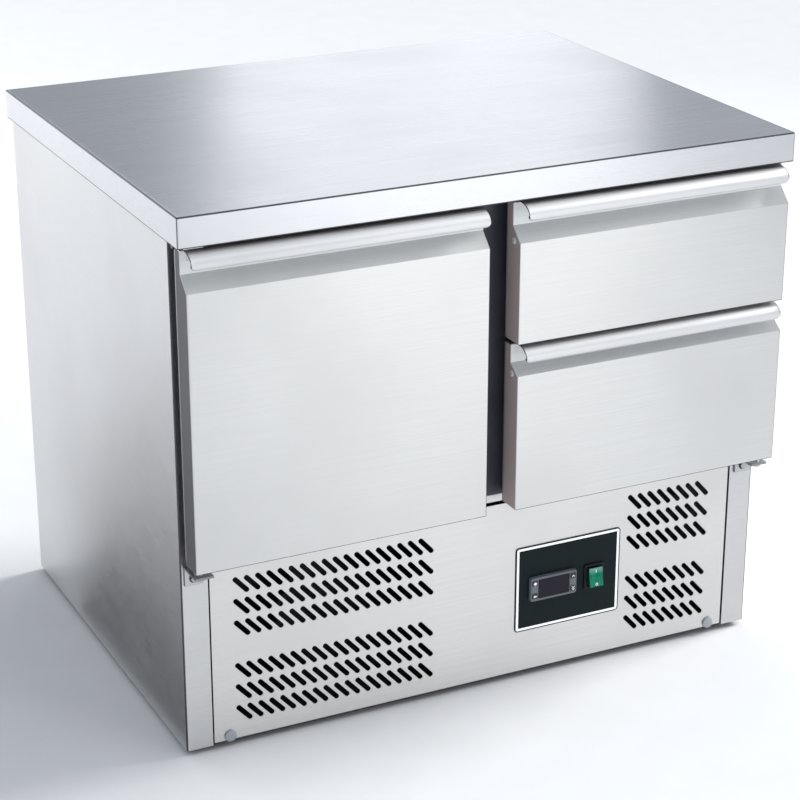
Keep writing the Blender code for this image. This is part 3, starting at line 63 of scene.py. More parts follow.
def lay(flat, depth, facing="front"):
    """Flat (y, z), (x, z) or (x, y) points, with depth as the coordinate they lack."""
    return np.insert(np.asarray(flat, float), AXIS[facing], depth, -1)


def spun(degrees):
    """(cos, sin) of each angle."""
    angle = np.radians(degrees)
    return np.stack([np.cos(angle), np.sin(angle)], -1)


def circle(radius, steps):
    """Radius times (cos, sin) at equal steps of a full turn."""
    return radius * spun(np.arange(steps) * 360 / steps)


def turned(flat, degrees):
    """x, y become x cos - y sin, x sin + y cos."""
    cos, sin = spun(degrees)
    return flat @ np.array([[cos, sin], [-sin, cos]])


def unit(vectors):
    """Each vector divided by its own length."""
    return vectors / np.linalg.norm(vectors, axis=-1, keepdims=True)


def rounded_rectangle(width, height, radius, steps=6):
    """Four corner centres, each with a quarter turn of radius times (cos, sin) round it."""
    radius = max(radius, SHARP)
    middles = np.array([(1, 1), (-1, 1), (-1, -1), (1, -1)]) * (width / 2 - radius, height / 2 - radius)
    arcs = radius * spun(90 * (np.arange(4)[:, None] + np.linspace(0, 1, steps + 1)))
    return (middles[:, None, :] + arcs).reshape(-1, 2)


def stadium(length, width, degrees, steps=8):
    """Two half circles set apart along a line, turned by an angle."""
    end = spun(np.linspace(-90, 90, steps + 1)) * width / 2 + ((length - width) / 2, 0)
    return turned(np.vstack([end, -end]), degrees)


def filleted(points, radius, steps=5):
    """Each inner corner becomes an arc touching both sides: a slerp between its two radii."""
    points = np.asarray(points, float)
    share = np.linspace(0, 1, steps + 1)[:, None]
    out = [points[:1]]
    for before, corner, after in zip(points, points[1:], points[2:]):
        back, on = unit(before - corner), unit(after - corner)
        turn = np.pi - np.arccos(np.clip(back @ on, -1, 1))
        reach = radius * np.tan(turn / 2)
        inwards = unit(back + on) * np.hypot(reach, radius)
        first, last = back * reach - inwards, on * reach - inwards
        arc = (np.sin((1 - share) * turn) * first + np.sin(share * turn) * last) / np.sin(turn)
        out.append(corner + inwards + arc)
    return np.concatenate(out + [points[-1:]])


def strip(line, right, left):
    """A folded sheet seen edge on: the line pushed both ways along its mitred normals."""
    step = unit(np.diff(line, axis=0))
    ahead = np.vstack([step, step[-1:]])
    mean = unit(np.vstack([step[:1], step]) + ahead)
    normal = mean[:, ::-1] * (-1, 1) / (mean * ahead).sum(1)[:, None]
    return np.vstack([line + normal * left, (line - normal * right)[::-1]])


def grown(loop, amount):
    """A closed loop pushed outwards along its mitred normals."""
    ahead, behind = unit(np.roll(loop, -1, 0) - loop), unit(loop - np.roll(loop, 1, 0))
    mean = unit(ahead + behind)
    return loop + mean[:, ::-1] * (1, -1) * amount / (mean * ahead).sum(1)[:, None]


print("flat outlines ready")

# %% Rings joined into shells


def loft(rings, loop=False):
    """Quads between each ring and the next, point by point, with a face over each end."""
    rings = np.asarray(rings, float)
    count, size = rings.shape[:2]
    row = np.arange(count if loop else count - 1)[:, None] * size
    here = np.arange(size)
    ahead, above = (here + 1) % size, (row + size) % (count * size)
    faces = np.stack([row + here, row + ahead, above + ahead, above + here], -1).reshape(-1, 4).tolist()
    if not loop:
        faces += [list(range(size))[::-1], list(range((count - 1) * size, count * size))]
    return rings.reshape(-1, 3), faces


def slab(centre, size, corner, levels, facing="front", steps=6, loop=False):
    """Rounded rectangles stacked up: each level is (inset, depth)."""
    return loft([lay(centre + rounded_rectangle(*np.subtract(size, 2 * inset), corner - inset, steps),
                     depth, facing) for inset, depth in levels], loop)


def rolled(back, front, radius, steps=3):
    """Levels from back to front whose last part is a quarter round inwards."""
    inset, drop = radius * (1 - spun(np.linspace(0, 90, steps + 1)).T)
    return [(0, back), *zip(inset, front + np.sign(back - front) * drop)]


def eased(left, right, radius, steps):
    """(place, inset) pairs across a width: radius * (1 - cos, 1 - sin) of a quarter turn at each end."""
    inward, inset = radius * (1 - spun(np.linspace(0, 90, steps + 1)).T)
    return list(zip([*(left + inward), *(right - inward[::-1])], [*inset, *inset[::-1]]))


def extrude(outline, start, stop, facing="front"):
    """The same outline at two depths."""
    return loft([lay(outline, start, facing), lay(outline, stop, facing)])


def lathe(profile, centre, facing="front", steps=32, loop=False):
    """Radius times (cos, sin) round an axis, at each depth of a (radius, depth) profile."""
    return loft([lay(centre + circle(max(radius, SHARP), steps), depth, facing)
                 for radius, depth in profile], loop)


def tube(path, radius, sides=10, loop=False, reference=(0.31, 0.17, 0.94)):
    """A circle carried along a path, square to it: side = ahead x reference, up = side x ahead."""
    path = np.asarray(path, float)
    ahead = np.roll(path, -1, 0) - np.roll(path, 1, 0)
    if not loop:
        ahead[0], ahead[-1] = path[1] - path[0], path[-1] - path[-2]
    side = unit(np.cross(ahead, reference))
    up = np.cross(side, unit(ahead))
    across = circle(radius, sides)
    return loft(path[:, None] + across[:, :1] * side[:, None] + across[:, 1:] * up[:, None], loop)


def punched(outline, holes, back, front, edge=0.3, rim=0.3):
    """A sheet with holes: one triangle fill for both faces, quads for walls, rounded front rims."""
    loops = [outline, *holes]
    sizes = [len(loop) for loop in loops]
    starts = np.cumsum([0] + sizes)
    total = starts[-1]
    lips = [edge] + [-rim] * len(holes)
    rows = [lay(np.vstack(loops), back)]
    for cos, sin in spun([0, 45, 90]):
        row = lay(np.vstack([grown(loop, -lip * (1 - cos)) for loop, lip in zip(loops, lips)]), front)
        row[:, 1] += np.sign(back - front) * np.repeat(np.abs(lips), sizes) * (1 - sin)
        rows.append(row)
    joins = np.array([(start + step, start + (step + 1) % size)
                      for start, size in zip(starts, sizes) for step in range(size)])
    spots = [Vector(point) for point in (np.vstack(loops) * MM).tolist()]
    fill = delaunay_2d_cdt(spots, joins.tolist(), [], 1, 1e-9)
    fan = np.array([made[0] for made in fill[3]])[np.array(fill[2])]
    owner = np.repeat(np.arange(len(loops)), sizes)[fan]
    fan = fan[(owner != owner[:, :1]).any(1) | (owner[:, 0] == 0)]
    walls = [np.column_stack([joins + total * row, joins[:, ::-1] + total * (row + 1)]) for row in range(3)]
    return np.vstack(rows), fan[:, ::-1].tolist() + (fan + 3 * total).tolist() + np.vstack(walls).tolist()


print("shell builders ready")

# %% [markdown]
# ## One function that makes a piece
# A piece is one mesh of one or more shells, and each shell carries the number of its finish.
# The normals are worked out again so that every face looks outwards. Face-weighted normals
# keep flat faces flat beside their rounded edges.


def piece(name, finishes, shells, replaces=(), body="cabinet", soft=32, bevel=0):
    """One object from shells of (points, faces) or (points, faces, finish number)."""
    points, faces, numbers = [], [], []
    for shell in shells:
        offset = sum(len(part) for part in points)
        points.append(shell[0])
        faces += [[corner + offset for corner in face] for face in shell[1]]
        number = shell[2] if len(shell) > 2 else 0
        numbers += list(number) if np.ndim(number) else [number] * len(shell[1])
    mesh = bpy.data.meshes.new(name)
    mesh.from_pydata((np.vstack(points) * MM).tolist(), [], faces)
    mesh.polygons.foreach_set("material_index", numbers)
    outward = bmesh.new()
    outward.from_mesh(mesh)
    bmesh.ops.recalc_face_normals(outward, faces=outward.faces)
    outward.to_mesh(mesh)
    outward.free()
    for finish in finishes:
        mesh.materials.append(finish)
    mesh.shade_smooth()
    mesh.set_sharp_from_angle(angle=np.radians(soft))
    item = bpy.data.objects.new(name, mesh)
    bpy.context.scene.collection.objects.link(item)
    if bevel:
        rounding = item.modifiers.new("Edges", "BEVEL")
        rounding.width, rounding.segments = bevel * MM, 2
        rounding.limit_method, rounding.angle_limit = "ANGLE", np.radians(50)
    item.modifiers.new("Flats", "WEIGHTED_NORMAL").keep_sharp = True
    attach(item, body)
    if replaces:
        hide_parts(*replaces)
    print("  %-26s %6d faces on %s" % (name, len(faces), body))


def box_of(node, facing="front"):
    """A solid's lowest and highest corner, and the centre and size of its outline on that side."""
    low, high = (np.array(corner, float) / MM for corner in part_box(node))
    return low, high, np.delete((low + high) / 2, AXIS[facing]), np.delete(high - low, AXIS[facing])


print("pieces can be made")

# %% [markdown]
# ## Finishes from nodes
# Stainless sheet is ground with a belt. Its fine parallel scratches are a noise stretched
# along the grain, and they drive roughness, tone and a very shallow bump. Over them lie
# soft clouds where hands have been.

# %% Node helpers


def plug(tree, node, sockets):
    """Each socket is linked to another node's socket, or set to a value."""
    for key, value in sockets.items():
        if isinstance(value, bpy.types.NodeSocket):
            tree.links.new(value, node.inputs[key])
        else:
            node.inputs[key].default_value = value


def add(tree, kind, sockets, out=0, **settings):
    """A shader node with its settings and sockets. Gives back one of its outputs."""
    node = tree.nodes.new("ShaderNode" + kind)
    for key, value in settings.items():
        setattr(node, key, value)
    plug(tree, node, sockets)
    return node.outputs[out]


def ramp(tree, value, low, high, start=0.3, stop=0.7):
    """A value between start and stop moved to lie between low and high."""
    return add(tree, "MapRange", {"Value": value, "From Min": start, "From Max": stop,
                                  "To Min": low, "To Max": high})


def blend(tree, share, first, second):
    """A colour between two colours. Inputs 6 and 7 of a Mix node are its colours."""
    first, second = (value if isinstance(value, bpy.types.NodeSocket) else (*value, 1)
                     for value in (first, second))
    return add(tree, "Mix", {"Factor": share, 6: first, 7: second}, 2, data_type="RGBA")


def new_finish(name, tone=0):
    """A new material's tree, shader, Object coordinates and tone."""
    material = bpy.data.materials.new(name)
    material.use_nodes = True
    tree = material.node_tree
    where = add(tree, "TexCoord", {}, "Object")
    return material, tree, tree.nodes["Principled BSDF"], where, np.array(tone)


def noise(tree, where, scale, detail=3.0):
    """Noise on Object coordinates."""
    return add(tree, "TexNoise", {"Vector": where, "Scale": scale, "Detail": detail})


def sums(tree, operation, sockets, out=0):
    """One step of vector arithmetic."""
    return add(tree, "VectorMath", sockets, out, operation=operation)


print("node helpers ready")

# %% Brushed steel


def grain(tree, upright):
    """The way the belt ran: level on every upright face, along X on flat ones, or straight up."""
    if upright:
        return add(tree, "CombineXYZ", {"Z": 1.0})
    normal = tree.nodes["Texture Coordinate"].outputs["Normal"]
    level = sums(tree, "CROSS_PRODUCT", {0: normal, 1: (0, 0, 1)})
    return sums(tree, "NORMALIZE", {0: sums(tree, "ADD", {0: level, 1: (0.05, 0, 0)})})


def streaks(tree, where, along, fine, long=5):
    """Noise on P * fine - g * (P . g) * (fine - long): squeezed across the grain g, not along it."""
    share = sums(tree, "DOT_PRODUCT", {0: where, 1: along}, "Value")
    share = add(tree, "Math", {0: share, 1: float(fine - long)}, operation="MULTIPLY")
    pull = sums(tree, "SCALE", {0: along, "Scale": share})
    wide = sums(tree, "SCALE", {0: where, "Scale": float(fine)})
    return noise(tree, sums(tree, "SUBTRACT", {0: wide, 1: pull}), 1.0)


def brushed(name, tone, roughness, lengthwise=0.75, depth=0.05, smudge=0.05, fine=700, metal=1.0,
            upright=False):
    """Ground metal: long streaks under faint hand marks, and a sheen that spreads across them."""
    material, tree, shader, where, tone = new_finish(name, tone)
    along = grain(tree, upright)
    streak, cloud = streaks(tree, where, along, fine), noise(tree, where, 5.0)
    grained = blend(tree, ramp(tree, streak, 0, 1), tone * 0.955, np.minimum(tone * 1.03, 1))
    plug(tree, shader, {
        "Base Color": blend(tree, ramp(tree, cloud, 0, 1, 0.45, 0.75), grained, tone * 0.95),
        "Roughness": add(tree, "Math", {0: ramp(tree, streak, roughness - 0.04, roughness + 0.04),
                                        1: ramp(tree, cloud, 0, smudge, 0.45, 0.75)}, operation="ADD"),
        "Normal": add(tree, "Bump", {"Height": streak, "Strength": depth, "Distance": 0.2 * MM}),
        "Tangent": add(tree, "VectorTransform", {"Vector": along}, vector_type="VECTOR",
                       convert_from="OBJECT", convert_to="WORLD"),
        "Metallic": metal, "Anisotropic": lengthwise, "Anisotropic Rotation": 0.25})
    return material


FRONT_STEEL = brushed("front_steel", (0.675, 0.675, 0.665), 0.36)
TOP_STEEL = brushed("worktop_steel", (0.64, 0.647, 0.665), 0.30, depth=0.02, smudge=0.02)
SIDE_STEEL = brushed("side_steel", (0.64, 0.64, 0.64), 0.34)
PANEL_STEEL = brushed("grille_steel", (0.72, 0.715, 0.70), 0.36)
LIP_STEEL = brushed("lip_steel", (0.70, 0.70, 0.70), 0.46, 0.4)
# A lighter, duller copy of the lip steel for the lip's inner side: painted light.
LIP_INSIDE_LIT = brushed("lip_inside_painted_light_steel", (0.80, 0.81, 0.83), 0.60, 0.3, metal=0.25)
LINER_STEEL = brushed("liner_steel", (0.58, 0.58, 0.59), 0.36)
# Near-black copies of the steel for bends, folds, ends and the washer: painted shade.
SHADE_STEEL = brushed("dark_painted_shade_steel", (0.10, 0.10, 0.11), 0.40)
FOLD_SHADE_STEEL = brushed("fold_painted_shade_steel", (0.07, 0.07, 0.075), 0.60, metal=0.3)
# The door's flange is darkened: painted shade. The drawers' flanges are brownish and dull: a painted
# reflection.
DOOR_FLANGE_SHADE = brushed("door_flange_painted_shade_steel", (0.135, 0.13, 0.135), 0.55, metal=0.75)
DRAWER_FLANGE_REFLECTION = brushed("drawer_flange_painted_reflection_steel", (0.58, 0.475, 0.45), 0.60, metal=0.10)
# Lighter, duller copies of the front steel for the slope and the upright wall: painted light.
SLOPE_LIT_STEEL = brushed("slope_painted_light_steel", (0.73, 0.73, 0.715), 0.58, 0.3, metal=0.45)
RECESS_LIT_STEEL = brushed("recess_painted_light_steel", (0.88, 0.88, 0.87), 0.50, 0.3, metal=0.25)
print("brushed steels ready")

# %% [markdown]
# ## Zinc, plastics, rubber and paint
# Zinc-coated sheet shows flat crystals, which a cell texture gives. Moulded plastic has a
# fine grain that breaks its sheen. The rocker is clear green over a lamp, with ribs inside
# the lens, and a painted highlight that turns its upper end pale.

# %% The other finishes


def crystals(name, tone, roughness, size=0.012):
    """Zinc spangle: each cell of a Voronoi pattern has its own tone and sheen."""
    material, tree, shader, where, tone = new_finish(name, tone)
    cells = add(tree, "TexVoronoi", {"Vector": where, "Scale": 1 / size}, "Color")
    value = add(tree, "SeparateColor", {"Color": cells})
    plug(tree, shader, {"Base Color": blend(tree, value, tone * 0.85, np.minimum(tone * 1.12, 1)),
                        "Roughness": ramp(tree, value, roughness - 0.1, roughness + 0.1, 0, 1),
                        "Metallic": 1.0})
    return material


def moulded(name, tone, roughness, grain=0.25, depth=0.15, dust=0.15, gloss=0.5):
    """Plastic, rubber, paint or foam: fine grain in the bump, slow clouds in tone and sheen."""
    material, tree, shader, where, tone = new_finish(name, tone)
    fine, cloud = noise(tree, where, 0.5 / (grain * MM), 2.0), noise(tree, where, 14.0, 4.0)
    lighter = np.minimum(tone * (1 + dust) + 0.02 * dust, 1)
    plug(tree, shader, {"Base Color": blend(tree, ramp(tree, cloud, 0, 1), tone, lighter),
                        "Roughness": ramp(tree, cloud, roughness - 0.04, roughness + 0.08),
                        "Normal": add(tree, "Bump", {"Height": fine, "Strength": depth,
                                                     "Distance": 0.1 * MM}),
                        "Specular IOR Level": gloss})
    return material


def plated(name, tone, roughness, lengthwise=0.2, metal=1.0):
    """Zinc plating: short soft streaks."""
    return brushed(name, tone, roughness, lengthwise, 0.03, fine=120, metal=metal)


ZINC = crystals("zinc_sheet", (0.60, 0.62, 0.63), 0.42)
# Zinc near black for the base pan: painted shade of the closed machine room.
SHADED_BASE_ZINC = crystals("machine_room_painted_shade_zinc", (0.075, 0.076, 0.078), 0.60)
BRIGHT_ZINC = plated("plated_zinc", (0.60, 0.61, 0.61), 0.32)
BRACKET_ZINC = plated("bracket_zinc", (0.52, 0.53, 0.53), 0.38)
# A darker zinc for sheared edges: painted shade that outlines the plates.
CUT_EDGE_SHADE = plated("cut_edge_painted_shade_zinc", (0.30, 0.30, 0.31), 0.45)
BOLT_STEEL = plated("bolt_steel", (0.42, 0.43, 0.44), 0.24, 0.1)
PALE_ZINC = plated("passivated_zinc", (0.80, 0.86, 0.88), 0.42, metal=0.1)
ALUMINIUM = brushed("fin_aluminium", (0.72, 0.73, 0.74), 0.34, 0.3, 0.03, fine=200, upright=True)
COPPER = brushed("pipe_copper", (0.72, 0.36, 0.22), 0.30, 0.2, 0.04, 0.12, 150)
MARK_GREY = moulded("cross_recess_grey", (0.12, 0.13, 0.14), 0.50)
FOAM = moulded("rigid_foam", (0.80, 0.70, 0.44), 0.85, 1.2, 0.6)
BOARD = moulded("stiffening_board", (0.13, 0.12, 0.11), 0.80, 0.8, 0.5)
NAVY = moulded("frame_plastic", (0.046, 0.047, 0.066), 0.42)
RUBBER = moulded("gasket_rubber", (0.045, 0.045, 0.050), 0.62, 0.4, 0.2, 0.5)
GREY_CAP = moulded("cap_plastic", (0.36, 0.385, 0.41), 0.38)
BLACK_PLASTIC = moulded("black_plastic", (0.010, 0.010, 0.012), 0.45, gloss=0.2)
HOUSING_GREY = moulded("housing_plastic", (0.145, 0.16, 0.18), 0.42, 0.3, 0.08, 0.05, 0.3)
BUTTON_GREY = moulded("button_plastic", (0.060, 0.066, 0.074), 0.45, 0.3, 0.08, 0.05, 0.3)
RIB_GREY = moulded("rib_plastic", (0.24, 0.26, 0.28), 0.45, 0.3, 0.08, 0.05, 0.3)
WHITE_INK = moulded("white_ink_painted_glow", (0.96, 0.96, 0.95), 0.45)
BLACK_INK = moulded("black_ink", (0.006, 0.008, 0.009), 0.45, 0.6, 0.05, 0.1, 0.1)
TEAL_FILM = moulded("teal_film", (0.006, 0.014, 0.0155), 0.42, 0.6, 0.03, 0.03, 0.12)
ENAMEL = moulded("black_enamel", (0.008, 0.008, 0.009), 0.38, 3, 0.2, 0.3, 0.3)
DUSTY_BLACK = moulded("machine_room_paint", (0.010, 0.010, 0.011), 0.70, 1.5, 0.2, 0.6, 0.15)
COATED_WIRE = moulded("coated_wire", (0.74, 0.75, 0.74), 0.32, 0.5, 0.1)
GLASS = moulded("display_window", (0.014, 0.012, 0.021), 0.22, 0.6, 0.01, 0.02, 0.2)
# A darker green for the rocker's rounded ends: painted shade.
SHADED_SIDE_GREEN = moulded("rocker_side_painted_shade_green", (0.0, 0.055, 0.032), 0.35, gloss=0.2)
print("zinc, plastics and paint ready")

# %% White ink with a painted glow, and the rocker lens with a painted highlight
# The white ink of the band and the signs glows faintly, though it is no lamp: a painted glow.
painted_glow = WHITE_INK.node_tree.nodes["Principled BSDF"].inputs
painted_glow["Emission Color"].default_value, painted_glow["Emission Strength"].default_value = (1, 1, 1, 1), 0.22
# The lens turns pale towards its upper end, by height: a painted highlight.
LENS_HIGHLIGHT_FROM, LENS_HIGHLIGHT_TO = 0.1435, 0.152  # height over which the lens turns pale, in metres
GREEN, tree, shader, where, _ = new_finish("rocker_green")
ribs = noise(tree, add(tree, "Mapping", {"Vector": where, "Scale": (620, 90, 45)}), 1.0, 1.0)
height = add(tree, "SeparateXYZ", {"Vector": where}, "Z")
green = blend(tree, ramp(tree, ribs, 0, 1, 0.35, 0.65), (0.0, 0.13, 0.07), (0.0, 0.29, 0.16))
painted_highlight = ramp(tree, height, 0, 0.75, LENS_HIGHLIGHT_FROM, LENS_HIGHLIGHT_TO)
plug(tree, shader, {"Base Color": blend(tree, painted_highlight, green, (0.26, 0.46, 0.44)),
                    "Roughness": ramp(tree, ribs, 0.12, 0.20), "Specular IOR Level": 0.15,
                    "Emission Color": (0.0, 0.30, 0.14, 1), "Emission Strength": 0.05})
print("finishes:", len(bpy.data.materials))

# %% [markdown]
# ## The worktop
# The worktop is one sheet over a board, folded down on all four sides. It is a stack of
# rounded rectangles that hems under, climbs the fascia and rolls over the top edge. At each
# corner the middle of the arc steps inwards to make the upright seam. Hem, roll and seam
# take the darker bend-line finish, a near-black copy of the steel: painted shade for the dark room they
# mirror.

# %% Worktop sheet
EDGE_ROLL, TOP_CORNER, SEAM, ARC = 1.8, 2.4, 0.9, 8


def seamed_rectangle(size, radius, notch):
    """A rounded rectangle whose four corner middles are pulled in by a notch."""
    flat = rounded_rectangle(*size, radius, ARC).reshape(4, -1, 2)
    flat[:, ARC // 2] -= np.sign(flat[:, ARC // 2]) * notch * np.sqrt(0.5)
    return flat.reshape(-1, 2)


low, high, centre, size = box_of("worktop_skin", "top")
shoulder = high[2] - EDGE_ROLL
levels = [(1.5, high[2] - 3, 0), (1.5, low[2] + 0.6, 0), (0.9, low[2], 0), (0.4, low[2] + 0.1, 0),
          (0, low[2] + 0.6, SEAM), (0, low[2] + 1.6, SEAM), (0, shoulder - 0.4, SEAM), (0, shoulder, 0)]
levels += [(*level, 0) for level in rolled(shoulder, high[2], EDGE_ROLL, 4)[1:]]
levels += [(EDGE_ROLL + 3, high[2], 0)]
points, faces = loft([lay(centre + seamed_rectangle(size - 2 * inset, max(TOP_CORNER - inset, 0.3), notch),
                          depth, "top") for inset, depth, notch in levels])
row, column = np.divmod(np.arange(len(faces)), 4 * (ARC + 1))
# Hem, roll and the faces beside the seams take the near-black finish: painted shade.
hem_and_roll = (row == 3) | (row == 4) | (row >= 7) & (row <= len(levels) - 3)
seam_faces = (row == 5) & np.isin(column, (3, 4, 12, 13, 21, 22, 28, 29, 30, 31))  # beside the notches
numbers = (hem_and_roll | seam_faces).astype(int)
numbers[-2:] = 0
piece("worktop_sheet", [TOP_STEEL, SHADE_STEEL], [(points, faces, numbers)], ["worktop_skin"])

# %% [markdown]
# ## Side sheets
# Each side is one folded sheet: the wide wall, the post across the front and a narrow
# flange behind. The outline is a line with rounded corners given its thickness and pushed
# upwards. The faces of the front bend take the near-black bend-line finish: painted shade.

# %% Side sheets
SHEET, BEND, REAR_FLANGE = 1, 2, 15
for side, node in ((-1, "side_panel_left"), (1, "side_panel_right")):
    low, high = box_of(node)[:2]
    outer, inner = (low[0], high[0]) if side < 0 else (high[0], low[0])
    line = [(inner, low[1]), (outer, low[1]), (outer, high[1]), (outer - side * REAR_FLANGE, high[1])]
    outline = strip(filleted(line, BEND), *((SHEET, 0) if side < 0 else (0, SHEET)))
    points, faces = extrude(outline, low[2], high[2], "top")
    middles = (outline + np.roll(outline, -1, 0)) / 2
    in_bend = (np.abs(middles - (outer, low[1])) < BEND * 0.95).all(1)
    piece(node.replace("panel", "sheet"), [SIDE_STEEL, SHADE_STEEL],
          [(points, faces, [*in_bend.astype(int), 0, 0])], [node], bevel=0.2)

# %% [markdown]
# ## Door and drawer skins
# A front is a tray of thin sheet whose top third folds back to leave room for fingers: the
# flat face, a slope, then the upright wall behind the handle. The side view is carried
# across the width, and its last rings shrink by a quarter round. That round has to be
# smaller than the bends, or the shrunk outline would cross itself. The folds at the bottom
# and the right take a near-black finish, painted shade. The flanges, slope and upright wall
# are the same sheet in other finishes: a darker door flange (painted shade), brownish drawer
# flanges (a painted reflection), and a lighter slope and wall (painted light).

# %% Skins
DRAWERS = ("upper_drawer", "lower_drawer")
FRONTS = ("door", *DRAWERS)
FACE_BEND, END_BEND, RECESS = 1.2, 1.1, 20
FACE, FLANGE, FOLD, SLOPE, WALL = range(5)
for prefix, scoop, rise in zip(FRONTS, (51, 51, 40), (20, 20, 14)):
    low, high = box_of(prefix + "_skin")[:2]
    (_, face, bottom), (_, back, top) = low, high
    bend, halfway = top - scoop, (bottom + top) / 2
    outline = filleted([(back, halfway), (back, bottom), (face, bottom), (face, bend),
                        (face + RECESS, bend + rise), (face + RECESS, top), (back, top), (back, halfway)],
                       FACE_BEND)[:-1]
    rings = [lay(grown(outline, inset), x, "side") for x, inset in eased(low[0], high[0], END_BEND, 3)]
    middle_y, middle_z = ((outline + np.roll(outline, -1, 0)) / 2).T
    around = np.zeros(len(outline), int)
    # The bottom fold takes the near-black fold finish: painted shade.
    around[np.maximum(np.abs(middle_y - face), np.abs(middle_z - bottom)) < FACE_BEND * 0.98] = FOLD
    around[(middle_y < face + RECESS - 0.5) & (middle_z > bend + 1)] = SLOPE
    around[(np.abs(middle_y - face - RECESS) < 0.5) & (middle_z > bend + rise)] = WALL
    numbers = np.tile(around, (len(rings) - 1, 1))  # one row for each strip from left to right
    # The slope's two strips at the left end take the light wall finish: a painted highlight line.
    numbers[:2, around == SLOPE] = WALL
    # The last strips at the right end take the near-black fold finish: painted shade.
    numbers[-3:, (around == FACE) | (around == SLOPE)] = FOLD
    flange = DOOR_FLANGE_SHADE if prefix == "door" else DRAWER_FLANGE_REFLECTION
    piece(prefix + "_front", [FRONT_STEEL, flange, FOLD_SHADE_STEEL, SLOPE_LIT_STEEL, RECESS_LIT_STEEL],
          [(*loft(rings), np.append(numbers, (FLANGE, FACE)))], [prefix + "_skin"], prefix)

# %% [markdown]
# ## Handle lips
# Each lip curls forwards and down over the recess: a quarter of an ellipse, a short drop
# and a tight curl. The line, thickened, is pushed along the width, and at both ends its
# lower part is squeezed upwards to round the corners.

# %% Handle lips
LIP_SHEET, LIP_DROP, LIP_REACH, LIP_CURL, LIP_ROUND = 1.2, 14.3, 24, 4, 6
SQUEEZED = 13
for prefix in FRONTS:
    low, high = box_of(prefix + "_handle_lip")[:2]
    (_, nose, bottom), (_, back, top) = low, high
    arc = (nose + LIP_REACH, top - LIP_DROP) + spun(np.linspace(90, 180, 19)) * (LIP_REACH, LIP_DROP)
    curl = (nose + LIP_CURL, top - LIP_DROP - 3) - LIP_CURL * spun(np.linspace(0, 70, 8))
    line = np.vstack([[(back, top)], arc, curl])
    outline = strip(line, 0, LIP_SHEET)
    share = np.clip((bottom + SQUEEZED - outline[:, 1:]) / SQUEEZED, 0, 1)
    rings = [lay(outline + share * (0, cut), x, "side") for x, cut in eased(low[0], high[0], LIP_ROUND, 6)]
    # The lip's inner side takes a lighter, duller steel: painted light. The folded ends at both sides take
    # the near-black fold finish: painted shade.
    numbers = np.tile(np.arange(len(outline)) < len(line) - 1, (len(rings) - 1, 1)).astype(int)
    numbers[[0, 1, -2, -1]] = 2  # the folded ends
    piece(prefix + "_grip", [LIP_STEEL, LIP_INSIDE_LIT, FOLD_SHADE_STEEL],
          [(*loft(rings), np.append(numbers, (2, 2)))], [prefix + "_handle_lip"], prefix)

# %% [markdown]
# ## Gaskets
# A magnetic gasket is a soft hollow section with folds, so that it reaches the frame when
# the door is a little off. The folds are a wave in the section, which goes round a rectangle.

# %% Gaskets
WIDE, FOLD_DEPTH, FOLDS, MAGNET_BOW = 16, 1.2, 2, 0.5
share = np.linspace(0, 1, 4 * FOLDS + 1)
wave = FOLD_DEPTH * (1 - np.cos(share * FOLDS * 2 * np.pi)) / 2
across = np.array([0.25, 0.5, 0.75])
for prefix in FRONTS:
    low, high, centre, size = box_of(prefix + "_gasket")
    depths = low[1] + (high[1] - low[1]) * share
    section = [*zip(wave, depths), *zip(WIDE * across, high[1] - MAGNET_BOW * np.sin(np.pi * across)),
               *zip(WIDE - wave[::-1], depths[::-1]), *zip(WIDE * across[::-1], [low[1]] * 3)]
    piece(prefix + "_seal", [RUBBER], [slab(centre, size, 3, section, steps=3, loop=True)],
          [prefix + "_gasket"], prefix, soft=60)

# %% [markdown]
# ## The slotted panel
# The machine room breathes through 156 slanted slots, each with a slightly rounded rim. All
# loops go into one triangle fill, which keeps the sheet watertight, and the triangles inside
# a slot are thrown away.

# %% Slots and panel
SLOT, ROW_STEP, COLUMN_STEP = (31.5, 7.1, -48), 32, 16.1
TOP_ROW, LEFT_COLUMN, RIGHT_COLUMN = 240, -360.6, 359.6
low, high = box_of("front_grille_panel")[:2]
columns = [*(LEFT_COLUMN + COLUMN_STEP * np.arange(18)), *(RIGHT_COLUMN - COLUMN_STEP * np.arange(8))]
slots = [stadium(*SLOT, steps=7) + (x, TOP_ROW - ROW_STEP * row)
         for row in (0, 1, 2, 4, 5, 6) for x in columns]
windows = [rounded_rectangle(*(size - 5), 1, 2) + middle
           for _, _, middle, size in map(box_of, ("thermostat_housing", "switch_bezel"))]
high[0] -= 1.2
outline = rounded_rectangle(*(high - low)[[0, 2]], 0.5, 2) + ((low + high) / 2)[[0, 2]]
piece("slotted_panel", [PANEL_STEEL],
      [punched(outline, slots + windows, high[1], low[1], rim=0.35)], ["front_grille_panel"])
print("slots:", len(slots))

# %% [markdown]
# ## Sill and caps
# Two round caps hide the panel's screws. They are low domes, turned like on a lathe. The
# sill under the fronts is a folded strip with rounded edges.

# %% Sill and caps
low, high, centre, size = box_of("front_sill")
piece("sill_strip", [PANEL_STEEL], [slab(centre, size, 0.8, rolled(high[1], low[1], 1))],
      ["front_sill"])
for node in ("grille_cap_left", "grille_cap_right"):
    low, high, centre, size = box_of(node)
    radius, thick = size[0] / 2, high[1] - low[1]
    dome = [(cos ** 0.6, 0.45 + 0.55 * sin) for cos, sin in spun(np.linspace(0, 90, 8)[1:-1])]
    profile = [(0.96, 0), (1, 0.15), (1, 0.4), *dome, (0, 1)]
    piece(node.replace("grille_cap", "screw_cap"), [GREY_CAP],
          [lathe([(radius * wide, high[1] - thick * out) for wide, out in profile], centre, steps=36)],
          [node], soft=50)

